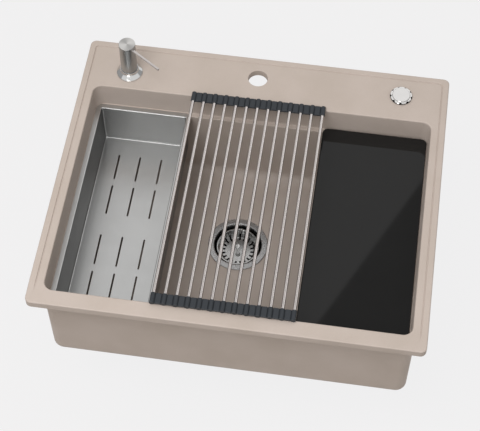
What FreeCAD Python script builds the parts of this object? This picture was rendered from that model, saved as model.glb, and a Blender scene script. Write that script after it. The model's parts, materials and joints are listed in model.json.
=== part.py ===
import FreeCAD, Part
import math
import os

# A workstation kitchen sink: a stone-composite bowl with a ledge that carries a sliding colander tray and a
# glass board, a roll-up mat of steel rods across its rim, a soap dispenser, and a basket waste that a push
# control on the deck lifts.
#
# Millimetres. X runs to the right, Y to the back and Z up. The origin is the centre of the rim's footprint,
# at the worktop's surface: the rim lies above z = 0, and the bowl and its fittings hang below it.

Vector = FreeCAD.Vector
UP = Vector(0, 0, 1)

# A plain rectangle is (x0, x1, y0, y1).

# ---- Rim and deck
RIM = (-325.0, 325.0, -275.0, 275.0)
DECK_Z = 15.0                # top of the deck: the rim is this thick
RIM_CORNER_R = 10.0
RIM_EDGE_R = 2.5
DECK_RECESS = (-305.0, 305.0, 150.0, 262.0)   # shallow recess under the back deck, clear of the worktop
DECK_RECESS_R = 8.0
DECK_UNDER_Z = 2.0
BORDER_WIDTH = 11.5          # raised border along the left, back and right edges
BORDER_RISE = 1.2
BORDER_FADE = (-261.0, -231.0)   # along Y, where the border rises out of the deck

# ---- Bowl
OPENING = (-300.0, 300.0, -247.0, 175.0)
OPENING_R = 16.0
OPENING_EDGE_R = 2.5
LEDGE_WIDTH = 8.0
LEDGE_Z = DECK_Z - 52.0
LEDGE_EDGE_R = 1.5
BOWL_R = 9.0                 # upright corners of the bowl below the ledge
BOWL_FOOT_R = 20.0
FLOOR_Z = DECK_Z - 212.0
FLOOR_THICKNESS = 6.5
UPPER_WALL = 9.0
LOWER_OUTSIDE = (-308.0, 308.0, -244.5, 177.5)      # plan of the bowl's outside below the shoulder
SHOULDER_DROP = 8.0          # height of the slope between the upper and the lower wall outside
OUTER_R = 18.0
OUTER_FOOT_R = 16.0

# ---- Deck holes
HOLE_R = 17.5
HOLE_EDGE_R = 0.8
DECK_NUT = 7.0               # height of the nuts below the deck
TAP_HOLE = (-13.7, 230.2)
DISPENSER = (-243.0, 212.0)
CONTROL = (242.3, 226.5)

# ---- Waste
DRAIN = (-18.5, 9.0)
DRAIN_HOLE_R = 45.0
FLANGE_R = 54.5
FLANGE_THICKNESS = 1.5
FLANGE_GASKET = 0.8
CUP_R = 44.3                 # threaded outside of the strainer body
CUP_WALL = 1.8
THROAT_R = 43.0
CUP_DEPTH = 41.0             # from the bowl's floor to the cup's floor
SPIGOT_R = 23.9
SPIGOT_BORE_R = 20.0
SPIGOT_LENGTH = 22.0
FLOOR_GASKET = 3.0
LOCKNUT_R = 56.0
LOCKNUT_HEIGHT = 12.0

BASKET_RIM_R = 38.8
BASKET_RIM_Z = FLOOR_Z - 5.2
BASKET_TOP_R = 36.0
BASKET_BOTTOM_R = 29.5
BASKET_DEPTH = 16.0
BASKET_SHEET = 0.9
BASKET_SLOTS = 20
BASKET_SLOT_WIDTH = 2.6
BASKET_SLOT_REACH = 6.5      # of each slot, inwards over the basket's floor
BASKET_SLOT_RISE = 8.0
POST_STEM_R = 2.5
POST_HEAD_R = 4.5
POST_HEAD = 3.0
POST_HEIGHT = 17.0
STOPPER_R = 25.0
BASKET_LIFT = 8.0

TAIL_R = 21.5
TAIL_BORE_R = 18.0
TAIL_LENGTH = 96.0
OUTLET_R = 20.0              # plain pipe end that a trap's compression nut takes
OUTLET_LENGTH = 34.0
OUTLET_GROOVE = 2.0          # relief between the outlet and the thicker tube above it
TAIL_WASHER = 2.0
TAIL_FLANGE_R = SPIGOT_R - 0.4
TAIL_FLANGE = 2.0
PORT_Z = FLOOR_Z - 91.0      # axis of the side port
PORT_R = 9.0
PORT_BORE_R = 6.5
PIVOT_REACH = 27.0           # from the drain's axis to the pivot's ball
BALL_R = 5.9
ROD_R = 2.0
LUG_R = 3.2                  # eye at the pivot rod's outer end
LUG_THICKNESS = 3.0
LUG_HOLE_R = 1.0
CABLE_REACH = 52.0           # from the drain's axis to the cable's gland
GLAND_R = 5.0
GLAND_BORE_R = 1.6
GLAND_LENGTH = 16.0
GLAND_ACROSS = 14.0          # across the flats of its collar
GLAND_COLLAR = (2.5, 5.5)    # from the gland's top down to the collar's two faces
ARM_Z = PORT_Z - 26.0        # underside of the arm that carries the cable's lower gland
ARM_THICKNESS = 4.0
ARM_WIDTH = 14.0
BRACE_HEIGHT = 8.0           # web under the arm
PORT_END = PIVOT_REACH + 7.0
PIVOT_NUT_R = 12.5
STEM_R = 3.0                 # stem that the pivot rod lifts
STEM_COLLAR_R = 6.0

# ---- Push control on the deck
CONTROL_RING_R = 19.5
CONTROL_SLEEVE_R = 17.0
CONTROL_SLEEVE_BORE_R = 15.6
CONTROL_CAP_R = 15.3
CONTROL_RING_TOP = DECK_Z + 3.4
CONTROL_CAP_TOP = DECK_Z + 4.6
CONTROL_SLEEVE_BOTTOM = -24.0
CONTROL_GUIDE = 2.0          # plate that closes the sleeve below
CONTROL_GUIDE_R = 3.3
CONTROL_STEM_R = 3.2
CONTROL_CAP = 3.0            # thickness of the button's top
CONTROL_SKIRT = 9.0
CONTROL_NOTCHES = 9          # finger notches round the ring's edge
CONTROL_NOTCH_R = 1.7
CONTROL_NOTCH_DEPTH = 1.8
CONTROL_SPRING = (6.5, 0.6, 7)   # radius of the coil, radius of the wire, turns
DECK_GASKET = 0.6
SPRING_CLEAR = 0.1           # between a spring and its seats

# ---- Soap dispenser
BELL_R = 23.0
BELL_RIM = 1.8               # height of its outer edge
BELL_FOOT_R = 18.6           # where its slope meets its neck, and that corner's height and sweep
BELL_FOOT = 3.4
BELL_SWEEP = 7.0
BELL_NECK_R = 15.9
BELL_HEIGHT = 12.9
SHANK_R = 17.0
SHANK_BORE_R = 15.3
SHANK_BOTTOM = -28.0
HEAD_R = 14.5
HEAD_TOP = DECK_Z + 78.0
HEAD_BOTTOM = 23.5
HEAD_BORE_R = 13.3
HEAD_BORE_TOP = 60.0
SPOUT_R = 2.25
SPOUT_BORE_R = 1.4
SPOUT_ROOT_Z = 85.0
SPOUT_TIP_Z = 81.0
SPOUT_REACH = 74.0           # from the pump's axis to the spout's tip, in plan
SPOUT_ANGLE = -32.0          # from +X
BARREL_R = 9.0
BARREL_BORE_R = 7.05
BARREL_TOP = 30.0
BARREL_BOTTOM = -62.0
PLUNGER_R = 3.5
PISTON_R = 7.0
PISTON_Z = (15.0, 23.0)
PLUNGER_TOP = 77.5
PLUNGER_BORE_R = 1.5
PUMP_SHELF_Z = 8.0           # inner shelf of the shank that carries the pump
PUMP_SHELF = 3.0
PUMP_SEAT_Z = -40.0          # foot of the pump's spring
PUMP_SPRING = (5.6, 0.5, 9)
DIP_TUBE_R = 3.0
BOTTLE_R = 31.0
BOTTLE_WALL = 1.5
BOTTLE_NECK_R = 19.6
BOTTLE_SHOULDER_Z = (-34.0, -56.0)
BOTTLE_BOTTOM = -186.0

# ---- Colander tray
TRAY = (-298.0, -125.5, -245.2, 171.8)
TRAY_FLANGE = 9.0
TRAY_SHEET = 1.2
TRAY_CORNER_R = 12.0
TRAY_WALL_R = 4.2            # outside radius of the folded upright corners
TRAY_FLANGE_Z = LEDGE_Z + 0.1
TRAY_FLOOR_Z = DECK_Z - 140.0
SLOT_WIDTH = 3.2
SLOT_COLUMNS = (-255.5, -216.5, -177.0)
SLOT_CENTRE_Y = -26.0
SLOT_INNER = (22.0, 84.0)    # a slot's two ends, from the middle of the pattern
SLOT_OUTER = (98.0, 152.0)

# ---- Glass board
BOARD = (112.0, 297.0, -245.2, 171.8)
BOARD_R = 10.0
BOARD_THICKNESS = 6.0
BOARD_EDGE = 0.8

# ---- Roll-up mat
MAT_RODS = 13
MAT_PITCH = 19.1
MAT_CENTRE_X = -5.2
MAT_ENDS = (-251.0, 179.0)   # along Y
MAT_ROD_R = 3.0
MAT_ROD_BORE_R = 2.4
CAP_R = 4.2
CAP_LENGTH = 19.0
CAP_END = 2.0                # closed end of a cap beyond the rod
CAP_GAP = 0.3                # above the deck
WEB_TOP = 2.2                # above the rods' axes
WEB_THICKNESS = 4.0
WEB_SLIT = 0.4
MAT_Z = DECK_Z + CAP_GAP + CAP_R


def inset(rect, margin):
    """The rectangle moved in by margin on every side."""
    x0, x1, y0, y1 = rect
    return (x0 + margin, x1 - margin, y0 + margin, y1 - margin)


def box(rect, z0, z1):
    x0, x1, y0, y1 = rect
    return Part.makeBox(x1 - x0, y1 - y0, z1 - z0, Vector(x0, y0, z0))


def rounded_wire(corners, place):
    """Closed wire through corners (u, v) or (u, v, radius); each radius becomes an arc tangent to both sides.

    place turns (u, v) into a point in space.
    """
    points = [Vector(corner[0], corner[1], 0) for corner in corners]
    radii = [corner[2] if len(corner) > 2 else 0.0 for corner in corners]
    turns = []
    for index, here in enumerate(points):
        back = (points[index - 1] - here).normalize()
        ahead = (points[(index + 1) % len(points)] - here).normalize()
        radius = radii[index]
        half_angle = back.getAngle(ahead) / 2
        reach = radius / math.tan(half_angle) if radius else 0.0
        start = here + back * reach
        end = here + ahead * reach
        middle = None
        if radius:
            middle = here + (back + ahead).normalize() * (radius / math.sin(half_angle) - radius)
        turns.append((start, middle, end))
    edges = []
    for index, (start, middle, end) in enumerate(turns):
        if middle is not None:
            arc = Part.Arc(place(start.x, start.y), place(middle.x, middle.y), place(end.x, end.y))
            edges.append(arc.toShape())
        following = turns[(index + 1) % len(turns)][0]
        if end.distanceToPoint(following) > 1e-6:
            edges.append(Part.LineSegment(place(end.x, end.y), place(following.x, following.y)).toShape())
    return Part.Wire(edges)


def plan_wire(rect, radius, z):
    x0, x1, y0, y1 = rect
    corners = [(x0, y0, radius), (x1, y0, radius), (x1, y1, radius), (x0, y1, radius)]
    return rounded_wire(corners, lambda u, v: Vector(u, v, z))


def slab(rect, radius, z0, z1):
    """Upright prism over a rectangle with rounded corners."""
    return Part.Face(plan_wire(rect, radius, z0)).extrude(UP * (z1 - z0))


def turned(corners, centre):
    """Solid of revolution about the upright line through centre, from a profile of (radius, z) corners."""
    wire = rounded_wire(corners, lambda u, v: Vector(centre[0] + u, centre[1], v))
    return Part.Face(wire).revolve(Vector(centre[0], centre[1], 0), UP, 360)


def rod(centre, radius, z0, z1):
    return Part.makeCylinder(radius, z1 - z0, Vector(centre[0], centre[1], z0))


def tube(centre, inner, outer, z0, z1):
    return rod(centre, outer, z0, z1).cut(rod(centre, inner, z0 - 1, z1 + 1))


def hex_nut(centre, bore, across, z0, z1):
    """Hexagon nut with its outer corners chamfered."""
    corner_r = across / 2 / math.cos(math.radians(30))
    points = [Vector(centre[0] + corner_r * math.cos(math.radians(60 * k)),
                     centre[1] + corner_r * math.sin(math.radians(60 * k)), z0) for k in range(7)]
    prism = Part.Face(Part.makePolygon(points)).extrude(UP * (z1 - z0))
    bevel = 0.5 * (corner_r - across / 2)
    blank = turned([(bore, z0), (corner_r - bevel, z0), (corner_r, z0 + bevel), (corner_r, z1 - bevel),
                    (corner_r - bevel, z1), (bore, z1)], centre)
    return prism.common(blank)


def deck_nut(centre, thread_r, across):
    """Nut under the deck, 0.3 mm clear of it, on a threaded sleeve."""
    top = DECK_UNDER_Z - 0.3
    return hex_nut(centre, thread_r + 0.1, across, top - DECK_NUT, top)


def level_edges(shape, z, rect=None):
    """The edges that lie in the plane at height z, and inside rect where one is given."""
    found = []
    for edge in shape.Edges:
        bounds = edge.BoundBox
        if abs(bounds.ZMin - z) > 1e-4 or abs(bounds.ZMax - z) > 1e-4:
            continue
        if rect is not None:
            x0, x1, y0, y1 = inset(rect, -0.01)
            if bounds.XMin < x0 or bounds.XMax > x1 or bounds.YMin < y0 or bounds.YMax > y1:
                continue
        found.append(edge)
    return found


def tangent_arc(start, corner, end):
    """The arc from start to end whose end tangents meet at the corner."""
    middle = (start + end) / 2
    rise = corner - middle
    half_chord = (end - start).Length / 2
    sagitta = half_chord * math.tan(math.atan2(rise.Length, half_chord) / 2)
    return Part.Arc(start, middle + rise.normalize() * sagitta, end).toShape()


def biarc(start, start_way, end, end_way):
    """Two arcs from start to end, tangent to each other and to the unit directions at both ends."""
    chord = end - start
    ways = start_way + end_way
    spread = 2 * (1 - start_way.dot(end_way))
    reach = (math.sqrt(chord.dot(ways) ** 2 + spread * chord.dot(chord)) - chord.dot(ways)) / spread
    corner = start + start_way * reach
    last_corner = end - end_way * reach
    joint = (corner + last_corner) / 2
    return [tangent_arc(start, corner, joint), tangent_arc(joint, last_corner, end)]


def coil(centre, radius, wire_r, z0, z1, turns):
    """Compression spring of round wire between two seats at z0 and z1; each quarter turn is a biarc."""
    low = z0 + wire_r + SPRING_CLEAR
    pitch = (z1 - wire_r - SPRING_CLEAR - low) / turns
    stations = []
    for quarter in range(4 * turns + 1):
        angle = math.radians(90 * quarter)
        place = Vector(centre[0] + radius * math.cos(angle), centre[1] + radius * math.sin(angle),
                       low + pitch * quarter / 4)
        way = Vector(-radius * math.sin(angle), radius * math.cos(angle), pitch / (2 * math.pi)).normalize()
        stations.append((place, way))
    arcs = []
    for (start, start_way), (end, end_way) in zip(stations, stations[1:]):
        arcs += biarc(start, start_way, end, end_way)
    section = Part.Wire(Part.makeCircle(wire_r, *stations[0]))
    return Part.Wire(arcs).makePipeShell([section], True, False)


def raised_border():
    """The low border on the rim's left, back and right, fading into the deck near the front."""
    top = DECK_Z + BORDER_RISE
    body = slab(RIM, RIM_CORNER_R, 0, top)
    body = body.makeFillet(RIM_EDGE_R, level_edges(body, top))
    low = DECK_Z - 2 * BORDER_RISE
    fade_start, fade_end = BORDER_FADE
    back = RIM[3] + 1
    outline = [(fade_start, low), (back, low), (back, top), (fade_end, top), (fade_start, DECK_Z)]
    points = [Vector(RIM[0] - 1, y, z) for y, z in outline]
    wedge = Part.Face(Part.makePolygon(points + points[:1])).extrude(Vector(RIM[1] - RIM[0] + 2, 0, 0))
    well = inset(RIM, BORDER_WIDTH)
    well_front = RIM[2] - 10
    well_body = slab((well[0], well[1], well_front, well[3]), BORDER_WIDTH / 2, low, top + 1)
    slope = Part.makeLoft([plan_wire((well[0], well[1], well_front, well[3]), BORDER_WIDTH / 2, DECK_Z),
                           plan_wire(inset((well[0], well[1], well_front, well[3]), -BORDER_RISE),
                                     BORDER_WIDTH / 2 + BORDER_RISE, top)], True)
    return body.common(wedge).cut(well_body).cut(slope)


def bowl_cavity():
    """The space inside the bowl below the ledge: upright corners, and a rounded foot along each wall."""
    inner = inset(OPENING, LEDGE_WIDTH)
    x0, x1, y0, y1 = inner
    top = LEDGE_Z + 1
    across = rounded_wire([(x0, top), (x0, FLOOR_Z, BOWL_FOOT_R), (x1, FLOOR_Z, BOWL_FOOT_R), (x1, top)],
                          lambda u, v: Vector(u, y0 - 1, v))
    along = rounded_wire([(y0, top), (y0, FLOOR_Z, BOWL_FOOT_R), (y1, FLOOR_Z, BOWL_FOOT_R), (y1, top)],
                         lambda u, v: Vector(x0 - 1, u, v))
    across_body = Part.Face(across).extrude(Vector(0, y1 - y0 + 2, 0))
    along_body = Part.Face(along).extrude(Vector(x1 - x0 + 2, 0, 0))
    return slab(inner, BOWL_R, FLOOR_Z, top).common(across_body).common(along_body)


def bowl_outside():
    """The bowl as a solid block: upper wall, sloping shoulder and lower wall with a rounded foot."""
    upper = inset(OPENING, -UPPER_WALL)
    shoulder_z = LEDGE_Z - SHOULDER_DROP
    bottom = FLOOR_Z - FLOOR_THICKNESS
    lower_body = slab(LOWER_OUTSIDE, OUTER_R, bottom, shoulder_z)
    lower_body = lower_body.makeFillet(OUTER_FOOT_R, level_edges(lower_body, bottom))
    slopes = [plan_wire(LOWER_OUTSIDE, OUTER_R, shoulder_z), plan_wire(upper, OUTER_R, LEDGE_Z)]
    shoulder = Part.makeLoft(slopes, True)
    return lower_body.fuse(shoulder).fuse(slab(upper, OUTER_R, LEDGE_Z, DECK_Z / 2))


def sink_basin():
    rim = slab(RIM, RIM_CORNER_R, 0, DECK_Z)
    rim = rim.makeFillet(RIM_EDGE_R, level_edges(rim, DECK_Z))
    rim = rim.cut(slab(DECK_RECESS, DECK_RECESS_R, -1, DECK_UNDER_Z))
    body = rim.fuse(bowl_outside())
    body = body.cut(slab(OPENING, OPENING_R, LEDGE_Z, DECK_Z + 5)).cut(bowl_cavity())
    for centre in (TAP_HOLE, DISPENSER, CONTROL):
        body = body.cut(rod(centre, HOLE_R, -1, DECK_Z + 5))
    body = body.cut(rod(DRAIN, DRAIN_HOLE_R, FLOOR_Z - FLOOR_THICKNESS - 1, FLOOR_Z + 1))
    body = body.removeSplitter()
    body = body.makeFillet(OPENING_EDGE_R, level_edges(body, DECK_Z, OPENING))
    body = body.makeFillet(LEDGE_EDGE_R, level_edges(body, LEDGE_Z, inset(OPENING, LEDGE_WIDTH)))
    hole_edges = []
    for x, y in (TAP_HOLE, DISPENSER, CONTROL):
        hole_edges += level_edges(body, DECK_Z, (x - HOLE_R, x + HOLE_R, y - HOLE_R, y + HOLE_R))
    body = body.makeFillet(HOLE_EDGE_R, hole_edges)
    return body.fuse(raised_border()).removeSplitter()


def strainer_body():
    """Flange on the bowl's floor, threaded cup through the hole, and the outlet spigot below it."""
    top = FLOOR_Z + FLANGE_GASKET + FLANGE_THICKNESS
    under = FLOOR_Z + FLANGE_GASKET
    cup_floor = FLOOR_Z - CUP_DEPTH
    cup_under = cup_floor - CUP_WALL
    end = cup_under - SPIGOT_LENGTH
    inner = CUP_R - CUP_WALL
    return turned([(FLANGE_R, under), (FLANGE_R, top, 1.1), (THROAT_R, top, 1.4), (inner, FLOOR_Z - 6),
                   (inner, cup_floor, 4.0), (SPIGOT_BORE_R, cup_floor), (SPIGOT_BORE_R, end), (SPIGOT_R, end),
                   (SPIGOT_R, cup_under), (CUP_R, cup_under, 4.0), (CUP_R, under)], DRAIN)


def strainer_locknut():
    """Large plastic ring nut with grip ribs round its edge."""
    top = FLOOR_Z - FLOOR_THICKNESS - FLOOR_GASKET
    bottom = top - LOCKNUT_HEIGHT
    nut = turned([(CUP_R + 0.1, bottom), (LOCKNUT_R - 4, bottom, 1.0), (LOCKNUT_R - 4, top - 4),
                  (LOCKNUT_R, top - 4), (LOCKNUT_R, top, 1.0), (CUP_R + 0.1, top)], DRAIN)
    rib_count = 8
    for index in range(rib_count):
        rib = box((LOCKNUT_R - 5, LOCKNUT_R, -3, 3), bottom + 1, top - 3.5)
        rib.rotate(Vector(0, 0, 0), UP, 360 / rib_count * index)
        rib.translate(Vector(DRAIN[0], DRAIN[1], 0))
        nut = nut.fuse(rib)
    return nut


def strainer_basket():
    """Sheet basket with a rolled rim and slots cut through its lower edge."""
    rim_under = BASKET_RIM_Z - 1.8
    bottom = BASKET_RIM_Z - BASKET_DEPTH
    basket = turned([(POST_STEM_R + 0.05, bottom), (BASKET_BOTTOM_R, bottom, 1.6),
                     (BASKET_TOP_R + BASKET_SHEET, rim_under), (BASKET_RIM_R, rim_under, 0.8),
                     (BASKET_RIM_R, BASKET_RIM_Z, 0.8), (BASKET_TOP_R, BASKET_RIM_Z, 0.8),
                     (BASKET_BOTTOM_R - BASKET_SHEET, bottom + BASKET_SHEET, 0.8),
                     (POST_STEM_R + 0.05, bottom + BASKET_SHEET)], DRAIN)
    half = BASKET_SLOT_WIDTH / 2
    inner = BASKET_BOTTOM_R - BASKET_SLOT_REACH
    for index in range(BASKET_SLOTS):
        slot = box((inner, BASKET_RIM_R, -half, half), bottom - 1, bottom + BASKET_SLOT_RISE)
        slot.rotate(Vector(0, 0, 0), UP, 360 / BASKET_SLOTS * index)
        slot.translate(Vector(DRAIN[0], DRAIN[1], 0))
        basket = basket.cut(slot)
    return basket


def basket_post():
    """Knob, post and lifting stem in one turned piece; the stem's round foot stands on the pivot rod."""
    head_top = BASKET_RIM_Z - BASKET_DEPTH + POST_HEIGHT
    head_under = head_top - POST_HEAD
    foot = stem_foot_z()
    stopper_under = cup_stop_z()
    post = turned([(0, foot), (STEM_R, foot), (STEM_R, stopper_under), (STEM_COLLAR_R, stopper_under - 1),
                   (STEM_COLLAR_R, stopper_under), (POST_STEM_R, stopper_under), (POST_STEM_R, head_under),
                   (POST_HEAD_R, head_under, 0.6), (POST_HEAD_R, head_top, 1.0), (0, head_top)], DRAIN)
    return post.fuse(Part.makeSphere(STEM_R, Vector(DRAIN[0], DRAIN[1], foot)))


def cup_stop_z():
    """Underside of the closed stopper, just clear of the cup's floor."""
    return FLOOR_Z - CUP_DEPTH + 0.3


def pivot_tilt():
    """Half of the pivot rod's swing, in degrees: it lifts the stem by BASKET_LIFT."""
    return math.degrees(math.atan(BASKET_LIFT / 2 / PIVOT_REACH))


def stem_foot_z():
    """Centre of the stem's round foot, 0.3 mm clear of the rod below it."""
    clear = (STEM_R + ROD_R + 0.3) / math.cos(math.radians(pivot_tilt()))
    return PORT_Z - BASKET_LIFT / 2 + clear


def basket_stopper():
    """Rubber disc under the basket that closes the outlet."""
    under = cup_stop_z()
    top = BASKET_RIM_Z - BASKET_DEPTH
    return turned([(POST_STEM_R + 0.05, under), (STOPPER_R - 1, under), (STOPPER_R, under + 2, 0.8),
                   (STOPPER_R - 3, under + 4), (9, under + 4, 2.0), (9, top),
                   (POST_STEM_R + 0.05, top)], DRAIN)


def tail_top_z():
    return FLOOR_Z - CUP_DEPTH - CUP_WALL - SPIGOT_LENGTH - TAIL_WASHER


def waste_tail():
    """Tailpiece with a flanged top, a side port for the pivot rod and an arm for the cable's gland."""
    top = tail_top_z()
    bottom = top - TAIL_LENGTH
    x, y = DRAIN
    along = Vector(1, 0, 0)
    axis_start = Vector(x, y, PORT_Z)
    shoulder = bottom + OUTLET_LENGTH + OUTLET_GROOVE
    shell = rod(DRAIN, TAIL_R, shoulder, top)
    shell = shell.fuse(rod(DRAIN, TAIL_FLANGE_R, top - TAIL_FLANGE, top))
    shell = shell.fuse(rod(DRAIN, OUTLET_R, bottom, bottom + OUTLET_LENGTH))
    shell = shell.fuse(rod(DRAIN, OUTLET_R - 0.6, bottom, shoulder + 1))
    port = Part.makeCylinder(PORT_R, PORT_END, axis_start, along)
    half_width = ARM_WIDTH / 2
    arm = box((x, x + CABLE_REACH + 8, y - half_width, y + half_width), ARM_Z, ARM_Z + ARM_THICKNESS)
    wall_x = x + TAIL_R - 1
    corners = [(wall_x, ARM_Z - BRACE_HEIGHT), (wall_x, ARM_Z), (x + CABLE_REACH - 6, ARM_Z)]
    web = [Vector(u, y - ARM_THICKNESS / 2, v) for u, v in corners]
    brace = Part.Face(Part.makePolygon(web + web[:1])).extrude(Vector(0, ARM_THICKNESS, 0))
    shell = shell.fuse(port).fuse(arm).fuse(brace)
    shell = shell.cut(rod(DRAIN, TAIL_BORE_R, bottom - 1, top + 1))
    shell = shell.cut(Part.makeCylinder(PORT_BORE_R, PORT_END + 1, axis_start, along))
    return shell.cut(rod((x + CABLE_REACH, y), GLAND_R + 0.05, ARM_Z - 1, ARM_Z + ARM_THICKNESS + 1))


def coupling_nut():
    """Slip nut that pulls the tailpiece's flange against the spigot."""
    flange_under = tail_top_z() - TAIL_FLANGE
    top = FLOOR_Z - CUP_DEPTH - CUP_WALL - 4
    outer = SPIGOT_R + 5
    return turned([(TAIL_R + 0.3, flange_under - 3), (outer, flange_under - 3, 1.0), (outer, top, 1.0),
                   (SPIGOT_R + 0.1, top), (SPIGOT_R + 0.1, flange_under),
                   (TAIL_R + 0.3, flange_under)], DRAIN)


def pivot_nut():
    """Nut on the side port; its lip keeps the rod's ball in the port."""
    x, y = DRAIN
    depth = PORT_END - PIVOT_REACH + 1
    lip = 2.5
    start = Vector(x + PIVOT_REACH - 1, y, PORT_Z)
    along = Vector(1, 0, 0)
    nut = Part.makeCylinder(PIVOT_NUT_R, depth + lip, start, along)
    nut = nut.makeFillet(1.0, [edge for edge in nut.Edges if len(edge.Vertexes) == 1])
    nut = nut.cut(Part.makeCylinder(PORT_R + 0.1, depth, start, along))
    return nut.cut(Part.makeCylinder(BALL_R - 1.4, depth + lip + 1, start, along))


def pivot_rod():
    """Rod through the side port, turning on its ball: one end lifts the stem, the other's eye takes the cable."""
    x, y = DRAIN
    ball = Vector(x + PIVOT_REACH, y, PORT_Z)
    inner = PIVOT_REACH + 2
    outer = CABLE_REACH - PIVOT_REACH
    across = Vector(0, 1, 0)
    shaft = Part.makeCylinder(ROD_R, inner + outer, ball - Vector(inner, 0, 0), Vector(1, 0, 0))
    eye = ball + Vector(outer, 0, 0)
    lug = Part.makeCylinder(LUG_R, LUG_THICKNESS, eye - across * (LUG_THICKNESS / 2), across)
    shape = shaft.fuse(Part.makeSphere(BALL_R - 0.1, ball)).fuse(lug)
    shape = shape.cut(Part.makeCylinder(LUG_HOLE_R, 4 * ROD_R, eye - across * (2 * ROD_R), across))
    shape.rotate(ball, across, -pivot_tilt())
    return shape


def cable_gland(centre, z_top):
    """Short nipple with a hexagon collar that a control cable's end screws into."""
    collar = hex_nut(centre, GLAND_R - 0.01, GLAND_ACROSS, z_top - GLAND_COLLAR[1], z_top - GLAND_COLLAR[0])
    return tube(centre, GLAND_BORE_R, GLAND_R, z_top - GLAND_LENGTH, z_top).fuse(collar)


def cable_glands():
    """One gland under the push control, one whose collar stands on the tailpiece's arm."""
    lower_top = ARM_Z + ARM_THICKNESS + GLAND_COLLAR[1]
    lower = cable_gland((DRAIN[0] + CABLE_REACH, DRAIN[1]), lower_top)
    upper = tube(CONTROL, GLAND_BORE_R, GLAND_R, CONTROL_SLEEVE_BOTTOM - 14, CONTROL_SLEEVE_BOTTOM)
    return Part.makeCompound([upper, lower])


def control_ring():
    """Notched flange ring on the deck, on a threaded sleeve through the hole that a guide plate closes."""
    under = DECK_Z + DECK_GASKET
    bottom = CONTROL_SLEEVE_BOTTOM
    plate_top = bottom + CONTROL_GUIDE
    ring = turned([(CONTROL_GUIDE_R, bottom), (CONTROL_SLEEVE_R, bottom), (CONTROL_SLEEVE_R, under),
                   (CONTROL_RING_R, under), (CONTROL_RING_R, CONTROL_RING_TOP, 1.6),
                   (CONTROL_SLEEVE_BORE_R, CONTROL_RING_TOP, 0.4), (CONTROL_SLEEVE_BORE_R, plate_top),
                   (CONTROL_GUIDE_R, plate_top)], CONTROL)
    for index in range(CONTROL_NOTCHES):
        angle = math.radians(360 / CONTROL_NOTCHES * index - 90)
        place = (CONTROL[0] + CONTROL_RING_R * math.cos(angle), CONTROL[1] + CONTROL_RING_R * math.sin(angle))
        notch_floor = CONTROL_RING_TOP - CONTROL_NOTCH_DEPTH
        ring = ring.cut(rod(place, CONTROL_NOTCH_R, notch_floor, CONTROL_RING_TOP + 1))
    return ring


def control_button():
    """Capped button with a stem that runs in the sleeve's guide."""
    top = CONTROL_CAP_TOP
    under = top - CONTROL_CAP
    skirt = top - CONTROL_SKIRT
    inner = CONTROL_CAP_R - 1.5
    stem_foot = CONTROL_SLEEVE_BOTTOM + CONTROL_GUIDE + 3
    return turned([(0, stem_foot), (CONTROL_STEM_R, stem_foot), (CONTROL_STEM_R, under), (inner, under),
                   (inner, skirt), (CONTROL_CAP_R, skirt), (CONTROL_CAP_R, top, 0.7), (0, top)], CONTROL)


def dispenser_flange():
    """Low bell that rises in a hollow curve from its rim to the pump head."""
    foot = DECK_Z + DECK_GASKET
    top = foot + BELL_HEIGHT
    return turned([(SHANK_R + 0.05, foot), (BELL_R, foot), (BELL_R, foot + BELL_RIM, 0.9),
                   (BELL_FOOT_R, foot + BELL_FOOT, BELL_SWEEP), (BELL_NECK_R, top, 0.4),
                   (HEAD_R + 0.35, top, 0.3), (HEAD_R + 0.35, foot + 6), (SHANK_R + 0.05, foot + 6)], DISPENSER)


def dispenser_shank():
    """Threaded tube through the deck, with an inner shelf that carries the pump."""
    top = DECK_Z + DECK_GASKET + 6
    shelf = PUMP_SHELF_Z
    shelf_under = shelf - PUMP_SHELF
    shelf_r = BARREL_R + 0.1
    return turned([(SHANK_BORE_R, SHANK_BOTTOM), (SHANK_R, SHANK_BOTTOM), (SHANK_R, top), (SHANK_BORE_R, top),
                   (SHANK_BORE_R, shelf), (shelf_r, shelf), (shelf_r, shelf_under),
                   (SHANK_BORE_R, shelf_under)], DISPENSER)


def pump_barrel():
    """Pump cylinder: collar on the shank's shelf, guide for the plunger, socket for the dip tube below."""
    seat = PUMP_SEAT_Z
    socket_top = seat - 6
    socket_r = DIP_TUBE_R + 0.05
    collar = PUMP_SHELF_Z
    collar_top = collar + 2.2
    collar_r = 12.6
    guide_r = PLUNGER_R + 0.1
    guide_under = BARREL_TOP - 3
    return turned([(socket_r, BARREL_BOTTOM), (5, BARREL_BOTTOM), (5, socket_top), (BARREL_R, seat - 2),
                   (BARREL_R, collar), (collar_r, collar), (collar_r, collar_top), (BARREL_R, collar_top),
                   (BARREL_R, BARREL_TOP, 1), (guide_r, BARREL_TOP), (guide_r, guide_under),
                   (BARREL_BORE_R, guide_under), (BARREL_BORE_R, seat), (2, seat), (2, socket_top),
                   (socket_r, socket_top)], DISPENSER)


def pump_plunger():
    """Hollow rod with the piston at its foot."""
    low, high = PISTON_Z
    return turned([(PLUNGER_BORE_R, low), (PISTON_R, low), (PISTON_R, high), (PLUNGER_R, high),
                   (PLUNGER_R, PLUNGER_TOP), (PLUNGER_BORE_R, PLUNGER_TOP)], DISPENSER)


def spout_line():
    """Start and end of the spout's axis; it starts inside the head."""
    angle = math.radians(SPOUT_ANGLE)
    along = Vector(math.cos(angle), math.sin(angle), 0)
    centre = Vector(DISPENSER[0], DISPENSER[1], 0)
    slope = (SPOUT_TIP_Z - SPOUT_ROOT_Z) / (SPOUT_REACH - HEAD_R)
    inside = 6.0
    start = centre + along * inside + UP * (SPOUT_ROOT_Z + slope * (inside - HEAD_R))
    end = centre + along * SPOUT_REACH + UP * SPOUT_TIP_Z
    return start, end


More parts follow.
